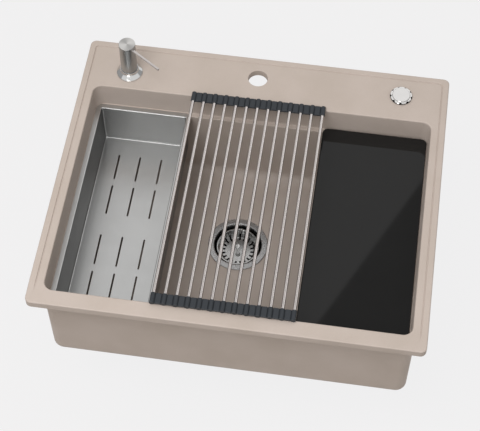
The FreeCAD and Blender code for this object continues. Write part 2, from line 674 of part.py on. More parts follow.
def pump_head():
    """Cylinder over the pump's neck, with a socket for the plunger and one for the spout."""
    socket_top = PLUNGER_TOP + 0.5
    start, end = spout_line()
    head = turned([(0, socket_top), (PLUNGER_R + 0.05, socket_top), (PLUNGER_R + 0.05, HEAD_BORE_TOP),
                   (HEAD_BORE_R, HEAD_BORE_TOP), (HEAD_BORE_R, HEAD_BOTTOM), (HEAD_R, HEAD_BOTTOM, 0.4),
                   (HEAD_R, HEAD_TOP, 0.8), (0, HEAD_TOP)], DISPENSER)
    head = head.cut(Part.makeCylinder(SPOUT_R + 0.05, 40, start, end - start))
    centre = Vector(DISPENSER[0], DISPENSER[1], SPOUT_ROOT_Z)
    outwards = Vector(start.x, start.y, SPOUT_ROOT_Z) - centre
    head = head.cut(Part.makeCylinder(SPOUT_BORE_R, 8, centre, outwards))
    return head.cut(rod(DISPENSER, SPOUT_BORE_R, socket_top - 1, SPOUT_ROOT_Z + SPOUT_BORE_R))


def pump_spout():
    """Thin pipe from the head's socket, a little downhill."""
    start, end = spout_line()
    length = (end - start).Length
    along = (end - start).normalize()
    pipe = Part.makeCylinder(SPOUT_R, length, start, along)
    return pipe.cut(Part.makeCylinder(SPOUT_BORE_R, length + 2, start - along, along))


def soap_bottle():
    """Round bottle whose neck screws onto the shank from below."""
    neck_bore = SHANK_R + 0.15
    shoulder_top, shoulder_bottom = BOTTLE_SHOULDER_Z
    inner = BOTTLE_R - BOTTLE_WALL
    floor = BOTTLE_BOTTOM + BOTTLE_WALL
    return turned([(neck_bore, -10), (BOTTLE_NECK_R, -10), (BOTTLE_NECK_R, shoulder_top, 3.0),
                   (BOTTLE_R, shoulder_bottom, 8.0), (BOTTLE_R, BOTTLE_BOTTOM, 6.0), (0, BOTTLE_BOTTOM),
                   (0, floor), (inner, floor, 4.5), (inner, shoulder_bottom, 6.5),
                   (neck_bore, shoulder_top, 3.0)], DISPENSER)


def stadium(x, y0, y1, width, z0, z1):
    """Upright prism over a slot with round ends, along Y."""
    half = width / 2
    middle = box((x - half, x + half, y0 + half, y1 - half), z0, z1)
    return middle.fuse(rod((x, y0 + half), half, z0, z1)).fuse(rod((x, y1 - half), half, z0, z1))


def colander():
    """Folded sheet tray: a flange that lies on the ledge, upright walls and a slotted floor."""
    wall = inset(TRAY, TRAY_FLANGE - TRAY_SHEET)
    inside = inset(TRAY, TRAY_FLANGE)
    flange_top = TRAY_FLANGE_Z + TRAY_SHEET
    floor_under = TRAY_FLOOR_Z - TRAY_SHEET
    outer = slab(wall, TRAY_WALL_R, floor_under, flange_top)
    outer = outer.makeFillet(2.4, level_edges(outer, floor_under))
    inner = slab(inside, TRAY_WALL_R - TRAY_SHEET, TRAY_FLOOR_Z, flange_top)
    inner = inner.makeFillet(1.2, level_edges(inner, TRAY_FLOOR_Z))
    tray = outer.fuse(slab(TRAY, TRAY_CORNER_R, TRAY_FLANGE_Z, flange_top)).cut(inner)
    tray = tray.makeFillet(0.8, level_edges(tray, flange_top, inside))
    for x in SLOT_COLUMNS:
        for low, high in (SLOT_INNER, SLOT_OUTER):
            for side in (-1, 1):
                ends = sorted((SLOT_CENTRE_Y + side * low, SLOT_CENTRE_Y + side * high))
                tray = tray.cut(stadium(x, ends[0], ends[1], SLOT_WIDTH, floor_under - 1, TRAY_FLOOR_Z + 1))
    return tray


def glass_board():
    under = LEDGE_Z + 0.1
    top = under + BOARD_THICKNESS
    board = slab(BOARD, BOARD_R, under, top)
    return board.makeChamfer(BOARD_EDGE, level_edges(board, under) + level_edges(board, top))


def mat_x(index):
    """X of a rod's axis, counted from the left."""
    return MAT_CENTRE_X + (index - (MAT_RODS - 1) / 2) * MAT_PITCH


def mat_rod(index):
    """Steel tube between the closed ends of its two caps."""
    start = Vector(mat_x(index), MAT_ENDS[0] + CAP_END, MAT_Z)
    length = MAT_ENDS[1] - MAT_ENDS[0] - 2 * CAP_END
    along = Vector(0, 1, 0)
    return Part.makeCylinder(MAT_ROD_R, length, start, along).cut(
        Part.makeCylinder(MAT_ROD_BORE_R, length + 2, start - along, along))


def mat_cap(index, y0, y1):
    """Silicone end of one rod, with half of the web to each neighbour; closed at the mat's outer end."""
    x = mat_x(index)
    along = Vector(0, 1, 0)
    cap = Part.makeCylinder(CAP_R, y1 - y0, Vector(x, y0, MAT_Z), along)
    reach = MAT_PITCH / 2 - WEB_SLIT / 2
    left = x - reach if index > 0 else x
    right = x + reach if index < MAT_RODS - 1 else x
    web_top = MAT_Z + WEB_TOP
    cap = cap.fuse(box((left, right, y0, y1), web_top - WEB_THICKNESS, web_top))
    bore_start = MAT_ENDS[0] + CAP_END if y0 == MAT_ENDS[0] else y0 - 1
    bore_end = MAT_ENDS[1] - CAP_END if y1 == MAT_ENDS[1] else y1 + 1
    bore = Part.makeCylinder(MAT_ROD_R + 0.05, bore_end - bore_start, Vector(x, bore_start, MAT_Z), along)
    return cap.cut(bore)


def mat_caps(index):
    front = mat_cap(index, MAT_ENDS[0], MAT_ENDS[0] + CAP_LENGTH)
    back = mat_cap(index, MAT_ENDS[1] - CAP_LENGTH, MAT_ENDS[1])
    return Part.makeCompound([front, back])


def build():
    """Every node's shape by its name."""
    floor_under = FLOOR_Z - FLOOR_THICKNESS
    spigot_end = tail_top_z() + TAIL_WASHER
    shapes = {
        "sink_basin": sink_basin(),
        "strainer_body": strainer_body(),
        "flange_gasket": tube(DRAIN, CUP_R + 0.1, FLANGE_R - 1, FLOOR_Z, FLOOR_Z + FLANGE_GASKET),
        "floor_gasket": tube(DRAIN, CUP_R + 0.1, LOCKNUT_R - 1, floor_under - FLOOR_GASKET, floor_under),
        "strainer_locknut": strainer_locknut(),
        "waste_tail": waste_tail(),
        "tail_washer": tube(DRAIN, TAIL_BORE_R + 1, TAIL_FLANGE_R, tail_top_z(), spigot_end),
        "coupling_nut": coupling_nut(),
        "pivot_nut": pivot_nut(),
        "cable_glands": cable_glands(),
        "strainer_basket": strainer_basket(),
        "basket_stopper": basket_stopper(),
        "basket_post": basket_post(),
        "pivot_rod": pivot_rod(),
        "control_gasket": tube(CONTROL, CONTROL_SLEEVE_R + 0.05, CONTROL_RING_R - 0.2, DECK_Z,
                               DECK_Z + DECK_GASKET),
        "control_ring": control_ring(),
        "control_nut": deck_nut(CONTROL, CONTROL_SLEEVE_R, 44.0),
        "control_spring": coil(CONTROL, *CONTROL_SPRING[:2], CONTROL_SLEEVE_BOTTOM + CONTROL_GUIDE,
                               CONTROL_CAP_TOP - CONTROL_CAP, CONTROL_SPRING[2]),
        "control_button": control_button(),
        "dispenser_gasket": tube(DISPENSER, SHANK_R + 0.05, BELL_R - 0.6, DECK_Z, DECK_Z + DECK_GASKET),
        "dispenser_flange": dispenser_flange(),
        "dispenser_shank": dispenser_shank(),
        "dispenser_nut": deck_nut(DISPENSER, SHANK_R, 42.0),
        "pump_barrel": pump_barrel(),
        "pump_spring": coil(DISPENSER, *PUMP_SPRING[:2], PUMP_SEAT_Z, PISTON_Z[0], PUMP_SPRING[2]),
        "dip_tube": tube(DISPENSER, 2.0, DIP_TUBE_R, BOTTLE_BOTTOM + 10, BARREL_BOTTOM + 14),
        "soap_bottle": soap_bottle(),
        "pump_plunger": pump_plunger(),
        "pump_head": pump_head(),
        "pump_spout": pump_spout(),
        "colander": colander(),
        "glass_board": glass_board(),
    }
    for index in range(MAT_RODS):
        shapes["mat_rod_%02d" % (index + 1)] = mat_rod(index)
        shapes["mat_cap_%02d" % (index + 1)] = mat_caps(index)
    return shapes


os.makedirs("parts", exist_ok=True)
for name, shape in build().items():
    shape.exportStep("parts/%s.step" % name)
    print("%-18s solids %2d  valid %s  volume %9.1f cm3"
          % (name, len(shape.Solids), shape.isValid(), shape.Volume / 1000))
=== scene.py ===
# %% [markdown]
# # A workstation kitchen sink
#
# The object is a wide sink moulded from stone composite, with a ledge inside its bowl. A steel colander
# tray and a black glass board slide along the ledge, a mat of steel rods lies across the rim, and the
# back deck carries a soap dispenser, a push control for the waste and an open hole for a tap.
#
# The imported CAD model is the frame: it says where every piece is and how large it is. This script dresses
# it. Shapes are worked out in millimetres, as a drawing gives them, and become metres when a mesh is
# made.

# %% Load the frame
import json
import math

import bmesh
import bpy
import numpy as np
from mathutils import Matrix, Vector

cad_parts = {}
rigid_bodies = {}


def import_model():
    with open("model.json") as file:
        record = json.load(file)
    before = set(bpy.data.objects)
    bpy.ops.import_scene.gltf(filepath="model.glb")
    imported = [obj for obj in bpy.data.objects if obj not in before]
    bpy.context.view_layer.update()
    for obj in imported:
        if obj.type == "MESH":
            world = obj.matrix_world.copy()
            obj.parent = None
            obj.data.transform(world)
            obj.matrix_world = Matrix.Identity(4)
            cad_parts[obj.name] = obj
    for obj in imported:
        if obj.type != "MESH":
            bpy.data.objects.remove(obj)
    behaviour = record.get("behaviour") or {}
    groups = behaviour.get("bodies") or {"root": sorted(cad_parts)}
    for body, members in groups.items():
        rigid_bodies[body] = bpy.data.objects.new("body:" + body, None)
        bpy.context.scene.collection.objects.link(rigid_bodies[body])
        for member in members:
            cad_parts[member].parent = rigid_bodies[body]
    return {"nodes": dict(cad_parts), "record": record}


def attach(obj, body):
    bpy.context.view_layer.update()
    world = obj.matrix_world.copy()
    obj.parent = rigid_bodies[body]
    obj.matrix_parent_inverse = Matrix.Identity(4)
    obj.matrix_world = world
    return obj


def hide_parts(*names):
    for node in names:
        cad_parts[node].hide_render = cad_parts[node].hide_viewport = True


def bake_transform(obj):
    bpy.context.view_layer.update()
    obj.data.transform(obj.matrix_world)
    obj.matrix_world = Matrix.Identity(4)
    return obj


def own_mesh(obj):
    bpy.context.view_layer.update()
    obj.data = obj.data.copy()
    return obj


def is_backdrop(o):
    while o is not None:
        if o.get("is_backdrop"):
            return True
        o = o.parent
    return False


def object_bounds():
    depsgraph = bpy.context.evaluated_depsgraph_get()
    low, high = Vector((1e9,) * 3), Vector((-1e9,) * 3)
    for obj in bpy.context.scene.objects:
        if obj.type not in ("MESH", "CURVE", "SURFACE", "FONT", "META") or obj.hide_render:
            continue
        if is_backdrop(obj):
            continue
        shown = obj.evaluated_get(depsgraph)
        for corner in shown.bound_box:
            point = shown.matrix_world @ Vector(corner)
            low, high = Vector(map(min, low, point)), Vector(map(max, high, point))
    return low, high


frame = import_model()
cad_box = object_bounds()
scene = bpy.context.scene
MM = 0.001

# %% [markdown]
# ## The camera
#
# The photograph looks down on the sink from the front, a little from the right. Its focal length, in
# pixels, came from fitting the rim's and the bowl's known corners to the places where they appear. A long
# lens far away gives the weak perspective that the picture has. The picture's centre is not quite the
# lens's axis, so a very small shift remains.

# %% Camera
PICTURE_WIDTH = 480
SENSOR_MM = 36.0
FOCAL_PIXELS = 1410.69
CAMERA_AZIMUTH = math.radians(8.70)
CAMERA_ELEVATION = math.radians(57.26)
CAMERA_ROLL = math.radians(-0.40)
CAMERA_DISTANCE = 2.3617
CAMERA_TARGET = Vector((-0.00709, -0.06148, 0.015))
CAMERA_SHIFT = (0.0043, -0.0014)
NEAREST_SEEN = 0.05


def add_camera():
    """A camera at the photograph's angle: its back points from the target to the lens, and it rolls about
    that."""
    data = bpy.data.cameras.new("camera")
    data.sensor_width = SENSOR_MM
    data.lens = FOCAL_PIXELS * SENSOR_MM / PICTURE_WIDTH
    data.shift_x, data.shift_y = CAMERA_SHIFT
    data.clip_start = NEAREST_SEEN
    camera = bpy.data.objects.new("camera", data)
    level = math.cos(CAMERA_ELEVATION)
    back = Vector((math.sin(CAMERA_AZIMUTH) * level, -math.cos(CAMERA_AZIMUTH) * level,
                   math.sin(CAMERA_ELEVATION)))
    right = (-back).cross(Vector((0, 0, 1))).normalized()
    up = back.cross(right)
    rolled_right = right * math.cos(CAMERA_ROLL) + up * math.sin(CAMERA_ROLL)
    rolled_up = up * math.cos(CAMERA_ROLL) - right * math.sin(CAMERA_ROLL)
    turn = Matrix((rolled_right, rolled_up, back)).transposed()
    camera.matrix_world = Matrix.Translation(CAMERA_TARGET + back * CAMERA_DISTANCE) @ turn.to_4x4()
    scene.collection.objects.link(camera)
    scene.camera = camera
    return camera


camera = add_camera()
print("lens", round(camera.data.lens, 1), "mm, at", [round(v, 3) for v in camera.location])

# %% [markdown]
# ## Shader arithmetic
#
# A finish is a small network of nodes. Written as Python expressions it reads like the sum that it is: a
# `Signal` wraps one socket, and adding or multiplying signals adds Math nodes. Everything else, such as a
# noise or a colour mix, comes from one method, `node`, which sets a node's settings before its sockets.

# %% Signals and finishes
class Signal:
    """One output socket of a finish; arithmetic on it adds Math nodes."""

    def __init__(self, finish, socket):
        self.finish = finish
        self.socket = socket

    def math(self, operation, first, second):
        return self.finish.node("ShaderNodeMath", {"operation": operation}, {0: first, 1: second})

    def __add__(self, other):
        return self.math("ADD", self, other)

    def __mul__(self, other):
        return self.math("MULTIPLY", self, other)

    def __sub__(self, other):
        return self.math("SUBTRACT", self, other)

    def __rsub__(self, other):
        return self.math("SUBTRACT", other, self)

    def __abs__(self):
        return self.math("ABSOLUTE", self, 0.0)

    __radd__ = __add__
    __rmul__ = __mul__

    def larger(self, other):
        """The larger of two signals."""
        return self.math("MAXIMUM", self, other)

    def above(self, level, width):
        """0 below the level and 1 above it, with a ramp of the given width between them."""
        settings = {"clamp": True}
        return self.finish.node("ShaderNodeMapRange", settings, {0: self, 1: level, 2: level + width})


class Finish:
    """The node tree of a new material, or of the world where one is given."""

    def __init__(self, name, world=None):
        self.material = world or bpy.data.materials.new(name)
        self.material.use_nodes = True
        self.tree = self.material.node_tree
        self.tree.nodes.clear()

    def node(self, kind, settings=None, inputs=None, output=0):
        """A node of any kind: its settings first, then the values or links of its sockets."""
        made = self.tree.nodes.new(kind)
        for key, value in (settings or {}).items():
            setattr(made, key, value)
        for key, value in (inputs or {}).items():
            if isinstance(value, Signal):
                self.tree.links.new(value.socket, made.inputs[key])
            else:
                made.inputs[key].default_value = value
        return Signal(self, made.outputs[output]) if made.outputs else None

    def place(self, stretch=(1.0, 1.0, 1.0)):
        """Object coordinates in metres, multiplied by a stretch along each axis."""
        where = self.node("ShaderNodeTexCoord", output="Object")
        return self.node("ShaderNodeMapping", inputs={"Vector": where, "Scale": stretch})

    def noise(self, where, scale, detail=2.0, roughness=0.5):
        """A cloudy value from 0 to 1; a scale of 100 makes features about 10 mm across."""
        inputs = {"Vector": where, "Scale": scale, "Detail": detail, "Roughness": roughness}
        return self.node("ShaderNodeTexNoise", inputs=inputs)

    def along(self, axis, vector):
        """One coordinate of a vector: X, Y or Z."""
        return self.node("ShaderNodeSeparateXYZ", inputs={0: vector}, output=axis)

    def facing(self):
        """The direction in which the surface faces."""
        return self.node("ShaderNodeNewGeometry", output="Normal")

    def mix(self, share, first, second):
        """One colour turning into another. A Mix node keeps its colours in sockets 6 and 7, and gives the
        mixed colour in its output 2."""
        return self.node("ShaderNodeMix", {"data_type": "RGBA"}, {0: share, 6: first, 7: second}, output=2)

    def bump(self, height, depth):
        """A normal from a height map whose full range is depth metres."""
        return self.node("ShaderNodeBump", inputs={"Height": height, "Distance": depth, "Strength": 1.0})

    def surface(self, **sockets):
        """The principled shader and the output; socket names are written with underscores."""
        inputs = {key.replace("_", " "): value for key, value in sockets.items()}
        shader = self.node("ShaderNodeBsdfPrincipled", inputs=inputs)
        self.node("ShaderNodeOutputMaterial", inputs={"Surface": shader})
        return self.material


def srgb(red, green, blue):
    """A display colour, 0 to 255 in each channel, as the linear colour that a shader takes: a share s of
    255 becomes s / 12.92 in the darkest tones, and ((s + 0.055) / 1.055)^2.4 above them."""
    share = np.array([red, green, blue]) / 255
    linear = np.where(share <= 0.04045, share / 12.92, ((share + 0.055) / 1.055) ** 2.4)
    return (*linear.tolist(), 1.0)


print("white", srgb(255, 255, 255))

# %% [markdown]
# ## The studio
#
# The photograph has soft light from everywhere, a pale grey background and almost no shadow. A world of
# even light does most of it, and one large lamp above the front lights what faces it. Camera, glossy and
# transmission rays see the same pale grey, so that metal and glass reflect the background. The floor is
# mostly that grey too, with a share of plain diffuse grey that keeps the object's shadow. Polished metal
# looks like metal only where it has something dark and something bright to reflect. So cards that only
# reflections show stand around the sink: grey ones where a room would be dark, and two bright ones for
# windows, whose light runs as fine lines along the folds of the steel.

# %% World and lamps
PALE = srgb(241, 241, 241)
SHADE_LIGHT = srgb(243, 239, 234)
WORLD_LIGHT = 0.72
STUDIO_FLOOR = cad_box[0][2] - 0.001
STUDIO_SIZE = 12.0
KEY_PLACE = (-0.5, -1.05, 2.2)
KEY_AIM = (0, -0.05, 0)
KEY_SIZE = 1.3
KEY_POWER = 35
FLOOR_GLOW = srgb(253, 253, 254)
FLOOR_BOUNCE = srgb(150, 143, 136)
FLOOR_SHADOW_SHARE = 0.15


def seen_by_rays(finish):
    """1 for camera, glossy and transmission rays, which see the background, and 0 for all others."""
    kinds = ("Is Camera Ray", "Is Glossy Ray", "Is Transmission Ray")
    seen, glossy, through = (finish.node("ShaderNodeLightPath", output=kind) for kind in kinds)
    return seen.larger(glossy).larger(through)


def add_world():
    """Even light, dimmer for diffuse rays than for the rays that see the background."""
    scene.world = bpy.data.worlds.new("studio")
    sky = Finish("studio", scene.world)
    seen = seen_by_rays(sky)
    strength = WORLD_LIGHT + (1 - WORLD_LIGHT) * seen
    colour = sky.mix(seen, SHADE_LIGHT, PALE)
    background = sky.node("ShaderNodeBackground", inputs={"Color": colour, "Strength": strength})
    sky.node("ShaderNodeOutputWorld", inputs={"Surface": background})


def add_lamp(name, place, aim, size, power):
    """A square area lamp at a place, turned to its aim. Metal and glass don't show it."""
    data = bpy.data.lights.new(name, "AREA")
    data.size = size
    data.energy = power
    lamp = bpy.data.objects.new(name, data)
    lamp.location = place
    lamp.rotation_euler = (Vector(aim) - Vector(place)).to_track_quat("-Z", "Y").to_euler()
    lamp.visible_glossy = False
    scene.collection.objects.link(lamp)


def add_sheet(name, corners, finish):
    """One flat four-sided sheet of the studio, in its finish."""
    mesh = bpy.data.meshes.new(name)
    mesh.from_pydata(corners, [], [(0, 1, 2, 3)])
    mesh.materials.append(finish.material)
    sheet = bpy.data.objects.new(name, mesh)
    scene.collection.objects.link(sheet)
    return sheet


def add_floor():
    """A pale floor under the lowest piece."""
    finish = Finish("floor")
    diffuse = finish.node("ShaderNodeBsdfDiffuse", inputs={"Color": FLOOR_BOUNCE})
    glow = finish.node("ShaderNodeEmission", inputs={"Color": FLOOR_GLOW})
    glow_share = seen_by_rays(finish) * (1 - FLOOR_SHADOW_SHARE)
    shader = finish.node("ShaderNodeMixShader", inputs={0: glow_share, 1: diffuse, 2: glow})
    finish.node("ShaderNodeOutputMaterial", inputs={"Surface": shader})
    half, z = STUDIO_SIZE / 2, STUDIO_FLOOR
    corners = [(-half, -half, z), (half, -half, z), (half, half, z), (-half, half, z)]
    floor = add_sheet("floor", corners, finish)
    floor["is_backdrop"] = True


def add_card(name, corners, grey):
    """A card that only reflections show: grey where the room would be dark, and above 1 for a window."""
    finish = Finish(name)
    glow = finish.node("ShaderNodeEmission", inputs={"Color": (grey, grey, grey, 1.0)})
    finish.node("ShaderNodeOutputMaterial", inputs={"Surface": glow})
    card = add_sheet(name, corners, finish)
    for ray in ("camera", "diffuse", "transmission", "volume_scatter", "shadow"):
        setattr(card, "visible_" + ray, False)
    card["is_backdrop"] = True


# Each card's name, its grey and its corners in metres.
CARDS = (
    ("glass_card", 0.3, [(-0.08, 0.78, 2.5), (0.64, 0.0, 2.5), (1.4, 1.6, 2.5), (0.62, 2.22, 2.5)]),
    ("front_window", 7.0, [(-1.05, -2.6, 0.2), (0.25, -2.6, 0.2), (0.25, -2.4, 2.2), (-1.05, -2.4, 2.2)]),
    ("right_window", 1.8, [(1.6, 2.6, 1.8), (2.6, 1.2, 1.8), (2.6, 1.0, 2.8), (1.5, 2.4, 2.8)]),
    ("left_side", 0.4, [(-2.5, -3, -0.4), (-2.5, 3, -0.4), (-2.5, 3, 1.4), (-2.5, -3, 1.4)]),
    ("right_side", 0.4, [(2.5, -3, -0.4), (2.5, 3, -0.4), (2.5, 3, 1.4), (2.5, -3, 1.4)]),
)
add_world()
add_lamp("key", KEY_PLACE, KEY_AIM, KEY_SIZE, KEY_POWER)
for name, grey, corners in CARDS:
    add_card(name, corners, grey)
add_floor()
scene.view_settings.view_transform = "Standard"
print("floor at", round(STUDIO_FLOOR, 3))

# %% [markdown]
# ## Finishes
#
# Each finish belongs to a slot of the record. Stone composite is quartz sand in resin: a warm grey-brown
# with cloudy variation, pale and dark grains under a millimetre across, and a fine pitted surface.

# %% Stone composite
STONE = srgb(191, 179, 171)
STONE_SHADE = srgb(185, 173, 164)
STONE_PALE_GRAIN = srgb(214, 206, 198)
STONE_DARK_GRAIN = srgb(146, 132, 122)
CLOUD_SCALE = 14
CLOUD_RAMP = (0.35, 0.3)
PALE_GRAIN_RAMP = (0.66, 0.05)
DARK_GRAIN_RAMP = (0.68, 0.05)
PALE_GRAIN_SCALE = 1300
DARK_GRAIN_SCALE = 1700
GRAIN_STRENGTH = 0.5
PIT_SCALE = 900
PIT_DEPTH = 0.00012


def stone_composite():
    """Clouds of two near tones, with the peaks of two fine noises on top as pale and as dark grains."""
    finish = Finish("stone_composite")
    where = finish.place()
    clouds = finish.noise(where, CLOUD_SCALE, detail=4)
    body = finish.mix(clouds.above(*CLOUD_RAMP), STONE, STONE_SHADE)
    pale = finish.noise(where, PALE_GRAIN_SCALE).above(*PALE_GRAIN_RAMP) * GRAIN_STRENGTH
    dark = finish.noise(where, DARK_GRAIN_SCALE).above(*DARK_GRAIN_RAMP) * GRAIN_STRENGTH
    colour = finish.mix(dark, finish.mix(pale, body, STONE_PALE_GRAIN), STONE_DARK_GRAIN)
    pits = finish.noise(where, PIT_SCALE, detail=3)
    return finish.surface(Base_Color=colour, Roughness=0.5 + clouds * 0.14,
                          Normal=finish.bump(pits, PIT_DEPTH))


print("stone", [round(channel, 3) for channel in STONE[:3]])

# %% [markdown]
# Bare steel has no colour of its own: what shows is the room, blurred by its finish. Rolled and brushed
# sheet blurs it along fine lines, so its noise is stretched along the brushing; the colander's walls are
# painted darker as shade. A turned part carries its lines round its axis, so its noise reads the distance
# from that axis; two bright fans of painted highlight are laid into its colour, and its walls take a
# darker colour as painted shade. Polished parts are clear, with faint wiping marks; the drain's cup and
# the control ring's lower edge are painted nearly black as shade.

# %% Steels and brass
BLACK = (0.0, 0.0, 0.0, 1.0)
# Painted shade: the near-black colour of the steel inside the drain's cup and under the control ring's lip.
PAINTED_SHADE_DARK = srgb(34, 33, 32)
LINES_PER_METRE = 2600
PATCH_SCALE = 22
WIPE_SCALE = 60
SCRATCH_STRETCH = (2600.0, 160.0, 900.0)
SCRATCH_DEPTH = 0.000004
WALL_RAMP = (0.5, 0.4)
FACE_RAMP = (0.4, 0.4)
PATCH_SHADE = 0.9
WIPE_SHADE = 0.93
FACE_FAN_SHADE = 0.6
WALL_FAN_SHADE = 0.7
WALL_ROUGHER = 0.1
PATCH_ROUGHER = 0.06
DULL_ROUGHER = 0.4


def shaded(colour, share):
    """A colour at a share of its brightness."""
    return (*(share * channel for channel in colour[:3]), 1.0)


def brushed(name, colour, stretch, low, high, line_depth, painted_wall_shades=(0.0, 0.0)):
    """Metal with fine lines: noise stretched along the brushing sets its roughness, from low to high, and
    its relief. Walls are rougher, and painted darker as shade: by the first share where they face
    sideways, by the second where they face front or back."""
    finish = Finish(name)
    lines = finish.noise(finish.place(stretch), 1.0, detail=3, roughness=0.6)
    patches = finish.noise(finish.place(), PATCH_SCALE, detail=3)
    roughness = low + (high - low) * lines + PATCH_ROUGHER * patches
    steel = finish.mix(patches, colour, shaded(colour, PATCH_SHADE))
    # Painted shade: walls are mixed towards black by the given shares.
    if any(painted_wall_shades):
        shade = 0.0
        for axis, share in zip("XY", painted_wall_shades):
            wall = abs(finish.along(axis, finish.facing())).above(*WALL_RAMP)
            shade = wall * share + shade
            roughness = roughness + wall * WALL_ROUGHER
        steel = finish.mix(shade, steel, BLACK)
    return finish.surface(Base_Color=steel, Metallic=1.0, Roughness=roughness,
                          Normal=finish.bump(lines, line_depth))


def lathe_turned(name, face_colour, painted_shade_wall_colour, centre, low, high, line_depth, anisotropic):
    """Metal turned on a lathe: its lines are circles round the upright axis through centre, so the noise
    reads the distance r from that axis and the height, and nothing else. Two opposite fans of painted
    highlight: the colour is brightest where x y / r^2 is largest, midway between right and back and
    on the far side from there. Surfaces that face sideways take the darker wall colour, as painted shade."""
    finish = Finish(name)
    where = finish.node("ShaderNodeTexCoord", output="Object")
    middle = (-centre[0] * MM, -centre[1] * MM, 0.0)
    from_axis = finish.node("ShaderNodeMapping", inputs={"Vector": where, "Location": middle})
    level_only = (1.0, 1.0, 0.0)
    flat = finish.node("ShaderNodeVectorMath", {"operation": "MULTIPLY"}, {0: from_axis, 1: level_only})
    distance = finish.node("ShaderNodeVectorMath", {"operation": "LENGTH"}, {0: flat}, output="Value")
    height = finish.along("Z", where)
    along = finish.node("ShaderNodeCombineXYZ",
                        inputs={0: distance * LINES_PER_METRE, 1: height * LINES_PER_METRE})
    lines = finish.noise(along, 1.0, detail=2)
    out = finish.node("ShaderNodeVectorMath", {"operation": "NORMALIZE"}, {0: flat})
    # Painted highlight: two bright fans where x y / r^2 is largest.
    fans = 0.5 + finish.along("X", out) * finish.along("Y", out)
    face = finish.mix(fans, shaded(face_colour, FACE_FAN_SHADE), face_colour)
    wall = finish.mix(fans, shaded(painted_shade_wall_colour, WALL_FAN_SHADE), painted_shade_wall_colour)
    # Painted shade: surfaces that face sideways take the darker wall colour.
    level = abs(finish.along("Z", finish.facing())).above(*FACE_RAMP)
    return finish.surface(Base_Color=finish.mix(level, wall, face), Metallic=1.0,
                          Roughness=low + (high - low) * lines, Normal=finish.bump(lines, line_depth),
                          Anisotropic=anisotropic)


def polished(name, colour, low, high, painted_shade_below=None, fade=0.004):
    """Polished metal: a clear reflection, dulled a little by wiping marks. Below the given height, in
    metres, it is rougher and its colour is painted nearly black as shade, as inside a drain."""
    finish = Finish(name)
    where = finish.place()
    wipes = finish.noise(where, WIPE_SCALE, detail=5, roughness=0.65)
    scratches = finish.noise(finish.place(SCRATCH_STRETCH), 1.0, detail=2)
    steel = finish.mix(wipes, colour, shaded(colour, WIPE_SHADE))
    roughness = low + (high - low) * wipes
    # Painted shade: below the given height the colour turns nearly black.
    if painted_shade_below:
        above_painted_shade = finish.along("Z", where).above(painted_shade_below, fade)
        steel = finish.mix(above_painted_shade, PAINTED_SHADE_DARK, steel)
        roughness = roughness + (1 - above_painted_shade) * DULL_ROUGHER
    return finish.surface(Base_Color=steel, Metallic=1.0, Roughness=roughness,
                          Normal=finish.bump(scratches, SCRATCH_DEPTH))


print("turned lines", LINES_PER_METRE, "per metre")

# %% [markdown]
# Rubber, silicone and moulded plastic are matt, with a fine grain. Black glass is a clear, glossy surface
# over a black layer: nearly all that shows is the reflection on top.

# %% Glass, rubber and plastics
GLASS = srgb(25, 25, 25)
GLASS_SMEAR = srgb(29, 29, 29)
GLASS_REFLECTION = 0.3
SMEAR_SCALE = 18
BLOOM_SCALE = 75
GRAIN_SCALE = 2200


def moulded(name, colour, roughness, grain_depth, dust=0.06):
    """A soft or moulded surface: one colour with a faint bloom, and a fine grain."""
    finish = Finish(name)
    where = finish.place()
    bloom = finish.noise(where, BLOOM_SCALE, detail=4)
    grain = finish.noise(where, GRAIN_SCALE, detail=2)
    lighter = tuple(min(1.0, c + dust) for c in colour[:3]) + (1.0,)
    return finish.surface(Base_Color=finish.mix(bloom * 0.5, colour, lighter),
                          Roughness=roughness + 0.12 * bloom, Normal=finish.bump(grain, grain_depth))


def black_glass():
    """Black glass: broad faint smears, a little lighter and duller than the clean surface."""
    finish = Finish("black_glass")
    smears = finish.noise(finish.place(), SMEAR_SCALE, detail=6, roughness=0.6)
    colour = finish.mix(smears, GLASS, GLASS_SMEAR)
    return finish.surface(Base_Color=colour, Roughness=0.02 + 0.03 * smears,
                          Specular_IOR_Level=GLASS_REFLECTION)


print("glass", [round(channel, 4) for channel in GLASS[:3]])

# %% One finish for each slot
DISPENSER = (-243.0, 212.0)
CHROME = srgb(238, 236, 234)
TURNED_FACE = srgb(222, 220, 217)
# A darker copy of the turned face colour for surfaces that face sideways: painted shade.
TURNED_WALL_PAINTED_SHADE = srgb(186, 188, 188)
SHEET_STRETCH = (2600.0, 14.0, 2600.0)
ROD_STRETCH = (1500.0, 12.0, 1500.0)
BRUSHED_DEPTH = 0.000006
SATIN_DEPTH = 0.000003
# Heights below which the strainer's cup and the control ring are painted dark as shade.
CUP_PAINTED_SHADE_BELOW = -0.206
RING_PAINTED_SHADE_BELOW = 0.0171
RING_FADE = 0.0004

